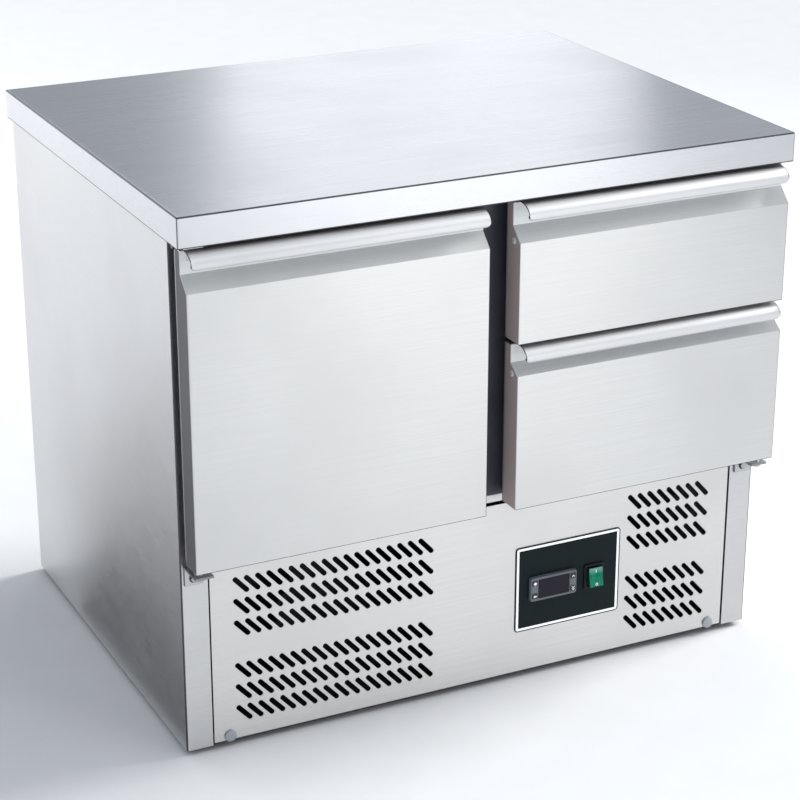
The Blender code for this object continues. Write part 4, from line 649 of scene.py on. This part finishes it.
# %% [markdown]
# ## The control plate
# A printed film lies on a thin plate: a black edge line, a white band, a second black line
# and a dark green-blue field. Each is a ring of one stack of rounded rectangles.

# %% Control plate
low, high, centre, size = box_of("control_plate")
RIM_BACK = low[1] - 0.3
levels = [(0, high[1]), (0, low[1] + 0.2), (0.2, low[1]), (1.7, low[1]), (5.4, low[1]), (6.9, low[1])]
points, faces = slab(centre, size, 5, levels, steps=8)
bands = [*np.repeat([0, 0, 0, 1, 0], 4 * (8 + 1)), 0, 2]
piece("control_panel_plate", [BLACK_INK, WHITE_INK, TEAL_FILM], [(points, faces, bands)],
      ["control_plate"], soft=25)

# %% [markdown]
# ## The thermostat
# The housing has ends that bulge a little. Its window and the four button holes are punched
# through the front, and the display is a sunk dark glass. Three short ribs lie between the
# buttons, which carry only plain signs.

# %% Thermostat housing and display
glass_low, glass_high, _, glass_size = box_of("thermostat_display")
low, high, centre, size = box_of("thermostat_housing")
outline = rounded_rectangle(*size, 3.5)
outline[:, 0] -= np.sign(outline[:, 0]) * 0.9 * (outline[:, 1] / size[1] * 2) ** 2
buttons = ("button_set", "button_light", "button_up", "button_down")
holes = [rounded_rectangle(*(glass_size + 0.6), 1.2, 3) + centre]
holes += [rounded_rectangle(*(wide + 0.5), 1.2, 3) + middle for _, _, middle, wide in map(box_of, buttons)]
shells = [punched(outline + centre, holes, RIM_BACK, low[1], 1.6, 0.4),
          slab(centre, (70, 29), 1.5, rolled(RIM_BACK - 1, high[1], 1), steps=2)]
shells += [(*slab(centre + (x, z), (8, 1.2), 0.4, rolled(low[1] + 0.4, low[1] - 0.3, 0.3, 1), steps=2), 1)
           for x in (-31, 31) for z in (-2.6, 0, 2.6)]
piece("thermostat_case", [HOUSING_GREY, RIB_GREY], shells, ["thermostat_housing"], soft=40)
piece("display_glass", [GLASS],
      [slab(centre, glass_size, 1, rolled(glass_high[1], glass_low[1] + 0.5, 0.4), steps=3)],
      ["thermostat_display"])

# %% Buttons and their signs
arrow = np.array([(-2.2, 0), (0, -1.6), (0, -0.6), (2.2, -0.6), (2.2, 0.6), (0, 0.6), (0, 1.6)])
chevron = np.array([(-2, -1.4), (-1.2, -1.4), (0, 0), (1.2, -1.4), (2, -1.4), (0, 1.1)])
ray = np.array([(2.0, -0.25), (2.7, -0.25), (2.7, 0.25), (2.0, 0.25)])
lamp_sign = [circle(1.6, 12)] + [turned(ray, degrees) for degrees in range(0, 360, 45)]
signs = {"button_up": [chevron + (0, 0.1)], "button_down": [(0, 1.4) - chevron, (0, -1.2) - chevron],
         "button_set": [arrow], "button_light": lamp_sign}
for node in buttons:
    low, high, centre, size = box_of(node)
    shells = [slab(centre, size, 1.1, rolled(high[1], low[1], 0.6), steps=4)]
    shells += [(*extrude(flat * 1.2 + centre, low[1] + 0.02, low[1] - 0.1), 1) for flat in signs[node]]
    piece(node.replace("button_", "key_"), [BUTTON_GREY, WHITE_INK], shells, [node], node, 45)

# %% [markdown]
# ## Rocker switch
# The rocker stands switched on: its upper end is pressed in and its lower end stands proud
# of a black bezel, so the face looks up. The face is a shallow V, drawn as a side view that
# shrinks towards both ends. A bar and a ring lie on its slopes.

# %% Bezel
low, high, centre, size = box_of("switch_bezel")
opening = np.array([23.5, size[1] - 7.5])
outside = [(2.5, high[1]), (2.5, RIM_BACK), (0, RIM_BACK)] + rolled(RIM_BACK, low[1], 1)[1:]
rings = [lay(centre + rounded_rectangle(*(size - 2 * inset), 2 - min(inset, 1.5), 4), depth)
         for inset, depth in outside]
rings += [lay(centre + rounded_rectangle(*(opening + grow), 1.5, 4), depth)
          for grow, depth in ((1, low[1]), (0, low[1] + 0.6), (0, high[1] - 2), (2, high[1] - 0.5))]
piece("switch_surround", [BLACK_PLASTIC], [loft(rings, loop=True)], ["switch_bezel"], soft=45)

# %% Rocker
PIVOT = np.array([low[1], centre[1]])
TOP_EDGE, VALLEY, BOTTOM_EDGE = np.array([(-4.5, 13.6), (-5.6, 0.0), (-9.0, -13.6)])
outline = PIVOT + filleted([(5, 0), (5, 5), (-3.2, 14.4), TOP_EDGE, VALLEY, BOTTOM_EDGE, (-7.2, -14.4),
                            (5, -5), (5, 0)], 0.8, 4)[-2::-1]
away = outline - outline.mean(0)
low, high = box_of("rocker_switch")[:2]
rings = [lay(outline - away * inset / np.abs(away).max(0), x, "side")
         for x, inset in eased(low[0], high[0], 1.6, 5)]


def on_slope(flat, start, end, height):
    """A flat sign laid on the slope between two profile points: along it by height."""
    along = unit(end - start)
    out = along[::-1] * (1, -1)
    out *= -np.sign(out[0])
    place = PIVOT + start + (end - start) * height + flat[:, 1:] * along
    layers = [np.column_stack([centre[0] + flat[:, 0], place + out * lift]) for lift in (-0.1, 0.15)]
    return (*loft(layers), 1)


sides = np.zeros((len(rings) - 1, len(outline)), int)
# The darker green on the rounded ends is painted shade.
sides[[0, 1, 2, -3, -2, -1]] = 2  # the rounded ends take the darker green
bar = np.array([(-0.5, -2.2), (0.5, -2.2), (0.5, 2.2), (-0.5, 2.2)])
shells = [(*loft(rings), np.append(sides, (2, 2))), on_slope(bar, VALLEY, TOP_EDGE, 0.68)]
rim = circle(2.1, 12)
shells += [on_slope(np.array([start, stop, stop * 0.62, start * 0.62]), BOTTOM_EDGE, VALLEY, 0.27)
           for start, stop in zip(rim, np.roll(rim, -1, 0))]
piece("rocker_key", [GREEN, WHITE_INK, SHADED_SIDE_GREEN], shells, ["rocker_switch"], "rocker", soft=40)

# %% [markdown]
# ## Hinge brackets, bolts and pins
# The door stands on a pin held by a folded bracket, and a spare bracket of the same kind
# sits on the right. Each is fixed by a hexagon bolt on a washer. The pins are turned, with
# a head below, and the left one has a collar that carries the door.

# %% Brackets and pins
BOLT, COLLAR = 6, [(4, 283.3), (7, 283.3), (7, 292.4), (4, 292.6)]
for side in ("left", "right"):
    low, high = box_of("lower_hinge_bracket_" + side)[:2]
    line = filleted([(high[1], low[2]), (high[1], high[2]), (low[1], high[2])], 3)
    section, base = strip(line, 0, 3), high[1] - 3
    points, faces = extrude(section, low[0], high[0], "side")
    # The sheared edges take a darker zinc: painted shade that outlines the plate.
    cut = np.zeros(len(faces), int)
    cut[[len(line) - 1, len(section) - 1, -2, -1]] = 1  # the sheared edges all round
    middle = ((low[0] + high[0]) / 2, high[2] - 17)
    head = loft([lay(middle + circle(radius, 6), base - out)
                 for radius, out in ((BOLT, 0.8), (BOLT, 3.3), (BOLT * 0.9, 4))])
    washer = lathe([(6.9, base), (7.2, base - 0.3), (6.6, base - 0.9)], middle, steps=28)
    # The washer takes the near-black bend steel: painted shade round the bolt.
    piece("hinge_plate_" + side, [BRACKET_ZINC, CUT_EDGE_SHADE, BOLT_STEEL, SHADE_STEEL],
          [(points, faces, cut), (*head, 2), (*washer, 3)], ["lower_hinge_bracket_" + side], bevel=0.5)
    low, high, middle, _ = box_of("lower_hinge_pin_" + side, "top")
    profile = [(5.5, low[2]), (6.5, low[2] + 0.8), (6.5, low[2] + 4.6), (4, low[2] + 5)]
    profile += (COLLAR if side == "left" else []) + [(4, high[2] - 0.8), (3.2, high[2])]
    piece("hinge_post_" + side, [BOLT_STEEL], [lathe(profile, middle, "top", 28)],
          ["lower_hinge_pin_" + side])

HINGE_AXIS = (-430, -326)
low, high = box_of("upper_hinge_bracket")[:2]
line = filleted([(high[1], high[2] - 12), (high[1], high[2]), (low[1], high[2])], 2.6)
upper_pin = lathe([(3.2, low[2]), (4, low[2] + 0.8), (4, high[2] - 1)], HINGE_AXIS, "top", 28)
upper_plate = extrude(strip(line, 0, 2.4), low[0], high[0], "side")
piece("upper_hinge_plate", [BRIGHT_ZINC], [upper_plate, upper_pin], ["upper_hinge_bracket"],
      bevel=0.3)

# %% [markdown]
# ## Screws in the drawers' side flanges
# One pan-head screw shows in each flange, level with the fold of the recess. Its cross is
# two crossed dark bars.

# %% Flange screws
HEAD, DOME = 4.9, 1.2
for prefix, height in zip(DRAWERS, (674, 488)):
    low, high = box_of(prefix + "_skin")[:2]
    for side, out, face in (("left", -1, low[0]), ("right", 1, high[0])):
        spot = (low[1] + 17, height)
        dome = [(HEAD * cos ** 0.6, face + out * DOME * sin) for cos, sin in spun([0, 20, 45, 70])]
        head = lathe([(HEAD, face), *dome, (0, face + out * DOME)], spot, "side", 24)
        cross = [(*slab(spot, size, 0.1, [(0, face + out * 0.9), (0, face + out * 1.24)], "side", 1), 1)
                 for size in ((3, 0.6), (0.6, 3))]
        piece(prefix + "_screw_" + side, [PALE_ZINC, MARK_GREY], [head] + cross, body=prefix,
              soft=50)

# %% [markdown]
# ## Inside of the door and the drawer pans
# The door's liner is a pressed sheet with a shallow dish. Each drawer is an open pan with
# rounded corners and a rolled rim, welded to its inner front plate and to the rails that
# run in the channels.

# %% Door liner
LINER = 1.5
low, high, centre, size = box_of("door_inner_panel")
plate = low[1] + LINER
levels = [(0, low[1]), (0, plate), (50, plate), (52, plate + 0.6), (53, high[1] - 3), (54, high[1] - 1),
          (57, high[1]), (80, high[1])]
piece("door_liner", [LINER_STEEL], [slab(centre, size, 6, levels)], ["door_inner_panel"], "door",
      soft=40)

# %% Drawer pans


def open_pan(centre, size, floor, top, wall, rim, foot):
    """Levels up the outside, over a rolled rim and down the inside of a pan."""
    levels = [(6, floor), (2, floor + 1), (0, floor + 6), (0, top - 1), (rim, top), (wall - rim, top),
              (wall, top - 1), (wall, floor + 7), (foot, floor + wall + 1), (foot + 4, floor + wall)]
    return slab(centre, size, 10, levels, "top")


PAN_LEFT, PAN_RIGHT, RAIL_FRONT, RAIL_BACK = 68, 378, -263.9, 186.1
for prefix, bottom, top in zip(DRAWERS, (557, 320), (698, 505)):
    runner_z = box_of(prefix + "_runner_left")[2][1]
    low, high, centre, size = box_of(prefix + "_pan")
    plate = low[1] + LINER
    shells = [open_pan(((PAN_LEFT + PAN_RIGHT) / 2, (plate + high[1]) / 2),
                       (PAN_RIGHT - PAN_LEFT, high[1] - plate), bottom + 8, top - 8, 1.2, 0.3, 3),
              slab(centre, size, 2, [(0, low[1]), (0, plate - 0.3), (0.3, plate)], steps=3)]
    for side, wall_x in ((-1, PAN_LEFT), (1, PAN_RIGHT)):
        line = [(wall_x, runner_z - 16), (wall_x + side * 12, runner_z - 16),
                (wall_x + side * 12, runner_z + 16), (wall_x, runner_z + 16)]
        rail = strip(filleted(line, 2, 3), *((0, LINER) if side > 0 else (LINER, 0)))
        shells.append(extrude(rail, RAIL_FRONT, RAIL_BACK))
    piece(prefix + "_box", [LINER_STEEL], shells, [prefix + "_pan"], prefix, soft=40)

# %% Runner channels
CHANNEL = 1.5
for prefix in DRAWERS:
    for side, inwards in (("left", 1), ("right", -1)):
        low, high, centre, _ = box_of("%s_runner_%s" % (prefix, side), "side")
        web, lip = (low[0], high[0]) if inwards > 0 else (high[0], low[0])
        line = filleted([(lip, low[2]), (web, low[2]), (web, high[2]), (lip, high[2])], 2.2, 3)
        channel = strip(line, *((CHANNEL, 0) if inwards > 0 else (0, CHANNEL)))
        roller = [(3.5, web + inwards * CHANNEL), (3.5, web + inwards * 2.6), (2, web + inwards * 3)]
        rollers = [lathe(roller, (y, centre[1]), "side", 16)
                   for y in np.linspace(low[1] + 40, high[1] - 40, 4)]
        piece("%s_channel_%s" % (prefix, side), [BRIGHT_ZINC],
              [extrude(channel, low[1], high[1])] + rollers, ["%s_runner_%s" % (prefix, side)], bevel=0.2)

# %% [markdown]
# ## The wire shelf
# The shelf is welded from coated wire: a frame, cross wires over it and long wires under.
# Every wire is a tube along a straight path, and the frame is a closed tube.

# %% Shelf wires
FRAME_WIRE = 2
low, high, centre, size = box_of("wire_shelf", "top")
level = (low[2] + high[2]) / 2
(left, front, _), (right, back, _) = low + FRAME_WIRE, high - FRAME_WIRE
frame_wire = lay(centre + rounded_rectangle(*(size - 2 * FRAME_WIRE), 12, 5), level, "top")
shells = [tube(frame_wire, FRAME_WIRE, 12, loop=True)]
shells += [tube([(x, front, level + 0.9), (x, back, level + 0.9)], 1.1, 8)
           for x in np.linspace(left, right, 26)[1:-1]]
shells += [tube([(left, y, level - 0.6), (right, y, level - 0.6)], 1.4, 8)
           for y in np.linspace(low[1], high[1], 4)[1:-1]]
piece("shelf_wires", [COATED_WIRE], shells, ["wire_shelf"], soft=60)

# %% [markdown]
# ## Heat exchangers and fans
# Both exchangers are packs of thin fins on copper tubes that turn back in round bends. A
# fan blade is a grid whose chord turns steadily from hub to tip, the twist of a pressed
# blade.

# %% Fin packs
BEND_ROOM, PIPE = 9, 4


def fin_pack(node, count, rows):
    """Thin upright fins across the width, and tubes that run through and turn back outside."""
    low, high, centre, size = box_of(node, "side")
    left, right = low[0] + BEND_ROOM, high[0] - BEND_ROOM
    shells = [slab(centre, size, corner, [(0, x), (0, x + thick)], "side", 1) for corner, thick, places in
              ((0.2, 0.3, np.linspace(left, right, count)), (0.5, 1, (left - 1.2, right + 0.6)))
              for x in places]
    heights = np.linspace(low[2] + 14, high[2] - 14, rows)
    for number, (below, above) in enumerate(zip(heights, heights[1:])):
        end, out = (right, 1) if number % 2 else (left, -1)
        half = (above - below) / 2
        reach = out * min(half, BEND_ROOM - 4.5)
        bend = (end, below + half) + spun(np.linspace(-90, 90, 9)) * (reach, half)
        path = lay([(end - out * 4, below), *bend, (end - out * 4, above)], centre[0])
        shells.append((*tube(path, PIPE, 10, reference=(0, 1, 0)), 1))
    return shells


for name, count, rows in (("evaporator", 70, 7), ("condenser", 56, 9)):
    piece(name + "_fins", [ALUMINIUM, COPPER], fin_pack(name + "_coil", count, rows),
          [name + "_coil"], soft=50)

# %% Fans
HUB, BORE, BLADE, BLADES = 16, 3.4, 1, 5
for body in ("evaporator_fan", "condenser_fan"):
    low, high, centre, size = box_of(body + "_blade")
    middle, half = (low[1] + high[1]) / 2, (high[1] - low[1]) / 2
    radius = np.linspace(12, min(size) / 2 * 0.98, 9)[:, None]
    chord = np.linspace(-1, 1, 7)[None, :]
    share = (radius - radius[0]) / (radius[-1] - radius[0])
    wide, pitch = 9 + 7 * np.sin(share * 2.4), np.radians(38 - 16 * share)
    along = chord * wide * np.cos(pitch)
    depth = middle + chord * wide * np.sin(pitch) * 0.62 + 1.2 * (1 - chord ** 2)
    shells = []
    for blade in range(BLADES):
        around = 2 * np.pi * blade / BLADES + along / radius
        x, z = centre[0] + radius * np.cos(around), centre[1] + radius * np.sin(around)
        near, far = (np.stack([x, depth + lift, z], -1) for lift in (-BLADE / 2, BLADE / 2))
        shells.append(loft(np.concatenate([near, far[:, ::-1]], axis=1)))
    hub = [(BORE, -half), (12, -half), (15, -half * 0.6), (HUB, 0), (HUB, half), (BORE, half)]
    shells.append(lathe([(wide, middle + out) for wide, out in hub], centre))
    piece(body + "_wheel", [BLACK_PLASTIC], shells, [body + "_blade"], body, soft=40)

# %% [markdown]
# ## Cowls, motor and tray
# Each fan turns in a cowl, a pressed box with a round, beaded mouth. The cold one has a
# guard of wire rings on four spokes. Behind the warm one the motor hangs on a bent strap,
# and a shallow tray at the back takes melt water.

# %% Fan cowls and the guard
COWL, MOUTH, ROUND = 1.2, 60, 48


def cowl(centre, size, plate, mouth):
    """The rounded wall, the plate with its round hole, and a bead round the hole."""
    inner = COWL if mouth > plate else -COWL
    levels = [(0, mouth), (0, plate + 1.7 * inner), (0.6, plate + 0.5 * inner), (2, plate),
              (2, plate + inner), (COWL, plate + 2 * inner), (COWL, mouth)]
    hole = centre + circle(MOUTH, ROUND)
    bead = tube(lay(hole, plate + 1.3 * inner), 1.3, 8, True, (0, 1, 0))
    front = punched(centre + rounded_rectangle(*size - 4, 2, 4), [hole], plate + inner, plate, SHARP, 0.5)
    return [slab(centre, size, 4, levels, steps=4, loop=True), front, bead]


low, high, centre, size = box_of("evaporator_cover")
shells = cowl(centre, size, low[1], high[1])
shells += [(*tube(lay(centre + circle(radius, ROUND), low[1] + 1.1), 0.9, 8, True, (0, 1, 0)), 1)
           for radius in (12, 24, 36, 48)]
shells += [(*tube(lay([centre + 11 * ray, centre + (MOUTH + 4) * ray], low[1] + COWL + 0.9), 1, 8), 1)
           for ray in spun([45, 135, 225, 315])]
piece("evaporator_cowl", [LINER_STEEL, COATED_WIRE], shells, ["evaporator_cover"], soft=40)
low, high, centre, size = box_of("condenser_shroud")
piece("condenser_cowl", [DUSTY_BLACK], cowl(centre, size, high[1], low[1]), ["condenser_shroud"],
      soft=40)

# %% Motor and tray
low, high, centre, size = box_of("condenser_fan_motor")
profile = [(24, 0), (32, 0.8), (35, 4), (35, 17), (33.4, 18), (33.4, 33), (35, 34), (35, 46), (32, 49.4),
           (12, 50), (10, 54), (4, 54), (4, 90)]
motor = lathe([(radius, high[1] - depth) for radius, depth in profile], centre, steps=40)
arm, strap_y = size[0] / 2 - 1.6, high[1] - 45.5
line = [(centre[0] - arm, strap_y - 16), (centre[0] - arm, strap_y), (centre[0] + arm, strap_y),
        (centre[0] + arm, strap_y - 16)]
strap = extrude(strip(filleted(line, 5), 1.5, 1.5), centre[1] - 6, centre[1] + 6, "top")
piece("condenser_motor", [DUSTY_BLACK, BRIGHT_ZINC], [motor, (*strap, 1)],
      ["condenser_fan_motor"], soft=40)
low, high, centre, size = box_of("evaporation_tray", "top")
piece("melt_water_tray", [BLACK_PLASTIC], [open_pan(centre, size, low[2], high[2], 2, 0.5, 4)],
      ["evaporation_tray"], soft=40)

# %% [markdown]
# ## The compressor
# The compressor is two pressed steel cups welded round the middle, on a foot plate with
# rubber feet and with a plastic cover over its terminals.

# %% Compressor
CUP = 75
low, high, centre, size = box_of("compressor", "top")
base, height = low[2] + 8, high[2] - low[2] - 8
lower_cup = [*zip(np.linspace(0.93, 0.97, 5), np.linspace(0.08, 0.42, 5))]
upper_cup = [(0.965 * cos ** 0.55, 0.56 + 0.44 * sin) for cos, sin in spun(np.linspace(0, 90, 9)[:-1])]
profile = [(CUP * wide, base + height * up)
           for wide, up in [*lower_cup, (1, 0.45), (1, 0.48), (0.965, 0.49), *upper_cup]]
shells = [lathe([(CUP * 0.55, base), (CUP * 0.85, base + 4), *profile, (0, high[2])], centre, "top", 48),
          slab(centre, size, 14, rolled(base + 2, base - 1, 1), "top", 5)]
shells += [(*lathe([(9, low[2]), (10, low[2] + 3), (7, base)], centre + (x, y), "top", 20), 1)
           for x in (-76, 76) for y in (-58, 58)]
shells.append((*slab((centre[1], base + height * 0.42), (44, 50), 6,
                     rolled(centre[0] + CUP * 0.8, centre[0] + CUP + 12, 3), "side", 4), 1))
piece("compressor_shell", [ENAMEL, BLACK_PLASTIC], shells, ["compressor"], soft=40)

# %% Suction pipe
PIPE_TURN = 261
low, high = box_of("suction_pipe")[:2]
foot, top = low[:2] + PIPE, high[:2] - PIPE
path = filleted([(*foot, low[2] + 0.1), (*foot, PIPE_TURN), (*top, PIPE_TURN), (*top, high[2])], 16, 8)
piece("suction_tube", [COPPER], [tube(path, PIPE - 0.1, 16)], ["suction_pipe"], soft=60)

# %% [markdown]
# ## The back
# The back is a zinc-coated sheet with upright vents, held by screws. A mains lead would
# leave through the black gland; the photograph shows no lead, so none is made.

# %% Back sheet, screws and gland
gland_low, gland_high, gland, _ = box_of("cable_gland")
low, high, centre, size = box_of("back_panel")
vents = [stadium(70, 6, 90, 6) + (column * 22, 103 + row * 95)
         for row in (0, 1) for column in np.arange(10) - 4.5]
vents.append(gland + circle(8.6, 24))
shells = [punched(rounded_rectangle(*size, 0.5, 2) + centre, vents, low[1], high[1])]
screw = [(3.6, high[1]), (3.4, high[1] + 0.9), (2.2, high[1] + 1.5), (0, high[1] + 1.6)]
shells += [(*lathe(screw, (x, z), steps=16), 1) for x in np.linspace(low[0] + 24, high[0] - 24, 6)
           for z in (low[2] + 10, 270, high[2] - 12)]
piece("back_sheet", [ZINC, BRIGHT_ZINC], shells, ["back_panel"], soft=40)
inside, face, outside = gland_low[1], high[1] + 0.3, gland_high[1]
profile = [(4.5, inside), (8, inside), (8, face), (11, face), (11, outside - 2), (9.5, outside - 0.6),
           (7, outside), (4.5, outside)]
piece("lead_gland", [BLACK_PLASTIC], [lathe(profile, gland, steps=36, loop=True)],
      ["cable_gland"], soft=40)

# %% [markdown]
# ## Solids that keep their shape
# Foam, board, frame, liner, base and fan shaft are already right as sheets and blocks, and
# only take a finish.

# %% Finishes on the solids that stay
# The base pan's near-black zinc is painted shade.
KEPT = {"worktop_core": BOARD, "cabinet_insulation": FOAM, "door_insulation": FOAM,
        "upper_drawer_insulation": FOAM, "lower_drawer_insulation": FOAM, "inner_liner": LINER_STEEL,
        "drawer_partition": LINER_STEEL, "front_frame": NAVY, "base_pan": SHADED_BASE_ZINC,
        "evaporator_fan_shaft": BRIGHT_ZINC}
for node, material in KEPT.items():
    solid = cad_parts[node]
    if not solid.material_slots:
        solid.data.materials.append(material)
    for slot in solid.material_slots:
        slot.material = material
print("kept solids:", len(KEPT))

# %% [markdown]
# ## Floor, light and camera
# The studio is a pale floor under a wide soft sun, with a dim blue-grey sky for the steel to
# mirror. Soft panels stand behind on the right and the left, in front and high up; the
# worktop mirrors the first as a bright band. A grey card on the floor beside the counter,
# which only glossy rays find, darkens the side sheet's lower back as in the photograph. Two
# small flags at the drawers' right ends only cast shade, and deepen the slopes' edge.

# %% Floor, card and flags
REACH, CARD_Z = 14, 0.003
CARD = [(-0.46, -0.40), (-0.46, 0.18), (-0.56, 0.38), (-0.71, 0.76), (-0.95, 1.22), (-1.02, 1.10),
        (-0.56, -0.15)]
FLAG_X, FLAG_FRONT, FLAG_BACK = 0.456, -0.358, -0.322
FLAG_HEIGHTS = (0.676, 0.731), (0.489, 0.545)


def studio_sheet(name, corners, material, hidden=()):
    """A flat sheet of the studio, left out of some kinds of ray."""
    mesh = bpy.data.meshes.new(name)
    mesh.from_pydata(corners, [], [range(len(corners))])
    mesh.materials.append(material)
    item = bpy.data.objects.new(name, mesh)
    bpy.context.scene.collection.objects.link(item)
    for ray in hidden:
        setattr(item, "visible_" + ray, False)
    return item


floor_material = moulded("studio_floor", (0.90, 0.90, 0.90), 0.75, 2, 0.02, 0.02)
floor = studio_sheet("studio_floor", [(-REACH, -REACH, 0), (REACH, -REACH, 0), (REACH, REACH, 0),
                                      (-REACH, REACH, 0)], floor_material)
card = studio_sheet("studio_card", [(x, y, CARD_Z) for x, y in CARD],
                    moulded("card_grey", (0.13, 0.13, 0.135), 0.80, 2, 0.02, 0.02),
                    ("camera", "diffuse", "shadow"))
for number, (low, high) in enumerate(FLAG_HEIGHTS, 1):
    flag = studio_sheet("studio_flag_%d" % number,
                        [(FLAG_X, FLAG_FRONT, low), (FLAG_X, FLAG_BACK, low), (FLAG_X, FLAG_BACK, high),
                         (FLAG_X, FLAG_FRONT, high)], floor_material, ("camera", "diffuse", "glossy"))
print("floor, card and flags stand")

# %% Sky, lamps and camera
world = bpy.data.worlds.new("studio_sky")
bpy.context.scene.world = world
world.use_nodes = True
sky = world.node_tree.nodes["Background"].inputs
sky["Color"].default_value, sky["Strength"].default_value = (0.84, 0.90, 1.0, 1), 0.50


def lamp(name, kind, energy, place, target, **settings):
    """A light at a place, turned so that its -Z looks at the target."""
    data = bpy.data.lights.new(name, kind)
    data.energy = energy
    for key, value in settings.items():
        setattr(data, key, value)
    item = bpy.data.objects.new(name, data)
    bpy.context.scene.collection.objects.link(item)
    item.location = place
    item.rotation_euler = (Vector(target) - Vector(place)).to_track_quat("-Z", "Y").to_euler()


lamp("key_light", "SUN", 2.9, (4.0, 0.1, 2.75), (0, 0, 0), angle=np.radians(24))
for name, energy, place, target, width, height in (
        ("rear_panel", 8, (1.34, 2.54, 1.75), (0.0, 0.0, 0.77), 1.15, 2.0),
        ("left_panel", 42, (-2.0, 4.7, 1.75), (-0.45, 0.0, 0.5), 1.6, 2.6),
        ("front_panel", 8, (1.02, -2.72, 0.83), (0.0, -0.3, 0.83), 1.1, 1.6),
        ("high_panel", 16, (1.2, -1.7, 3.2), (0.0, -0.3, 0.7), 2.6, 2.4)):
    lamp(name, "AREA", energy, place, target, shape="RECTANGLE", size=width, size_y=height)

CAMERA_PLACE, LOOKS_DOWN, TURNED, LENS = (-1.3693, -2.8531, 1.5985), 21.776, -25.911, 103.7
camera_data = bpy.data.cameras.new("photo_camera")
camera_data.sensor_width, camera_data.lens, camera_data.clip_end = 36, LENS, 60
camera = bpy.data.objects.new("photo_camera", camera_data)
bpy.context.scene.collection.objects.link(camera)
camera.location = CAMERA_PLACE
camera.rotation_euler = (np.radians(90 - LOOKS_DOWN), 0, np.radians(TURNED))
bpy.context.scene.camera = camera
bpy.context.scene.view_settings.view_transform = "Standard"
print("studio ready")

# %% [markdown]
# ## The last update
# The dressed counter has to stay inside the solid model's box. The view layer is brought
# up to date before the frame is closed.

# %% The last line
bpy.context.view_layer.update()
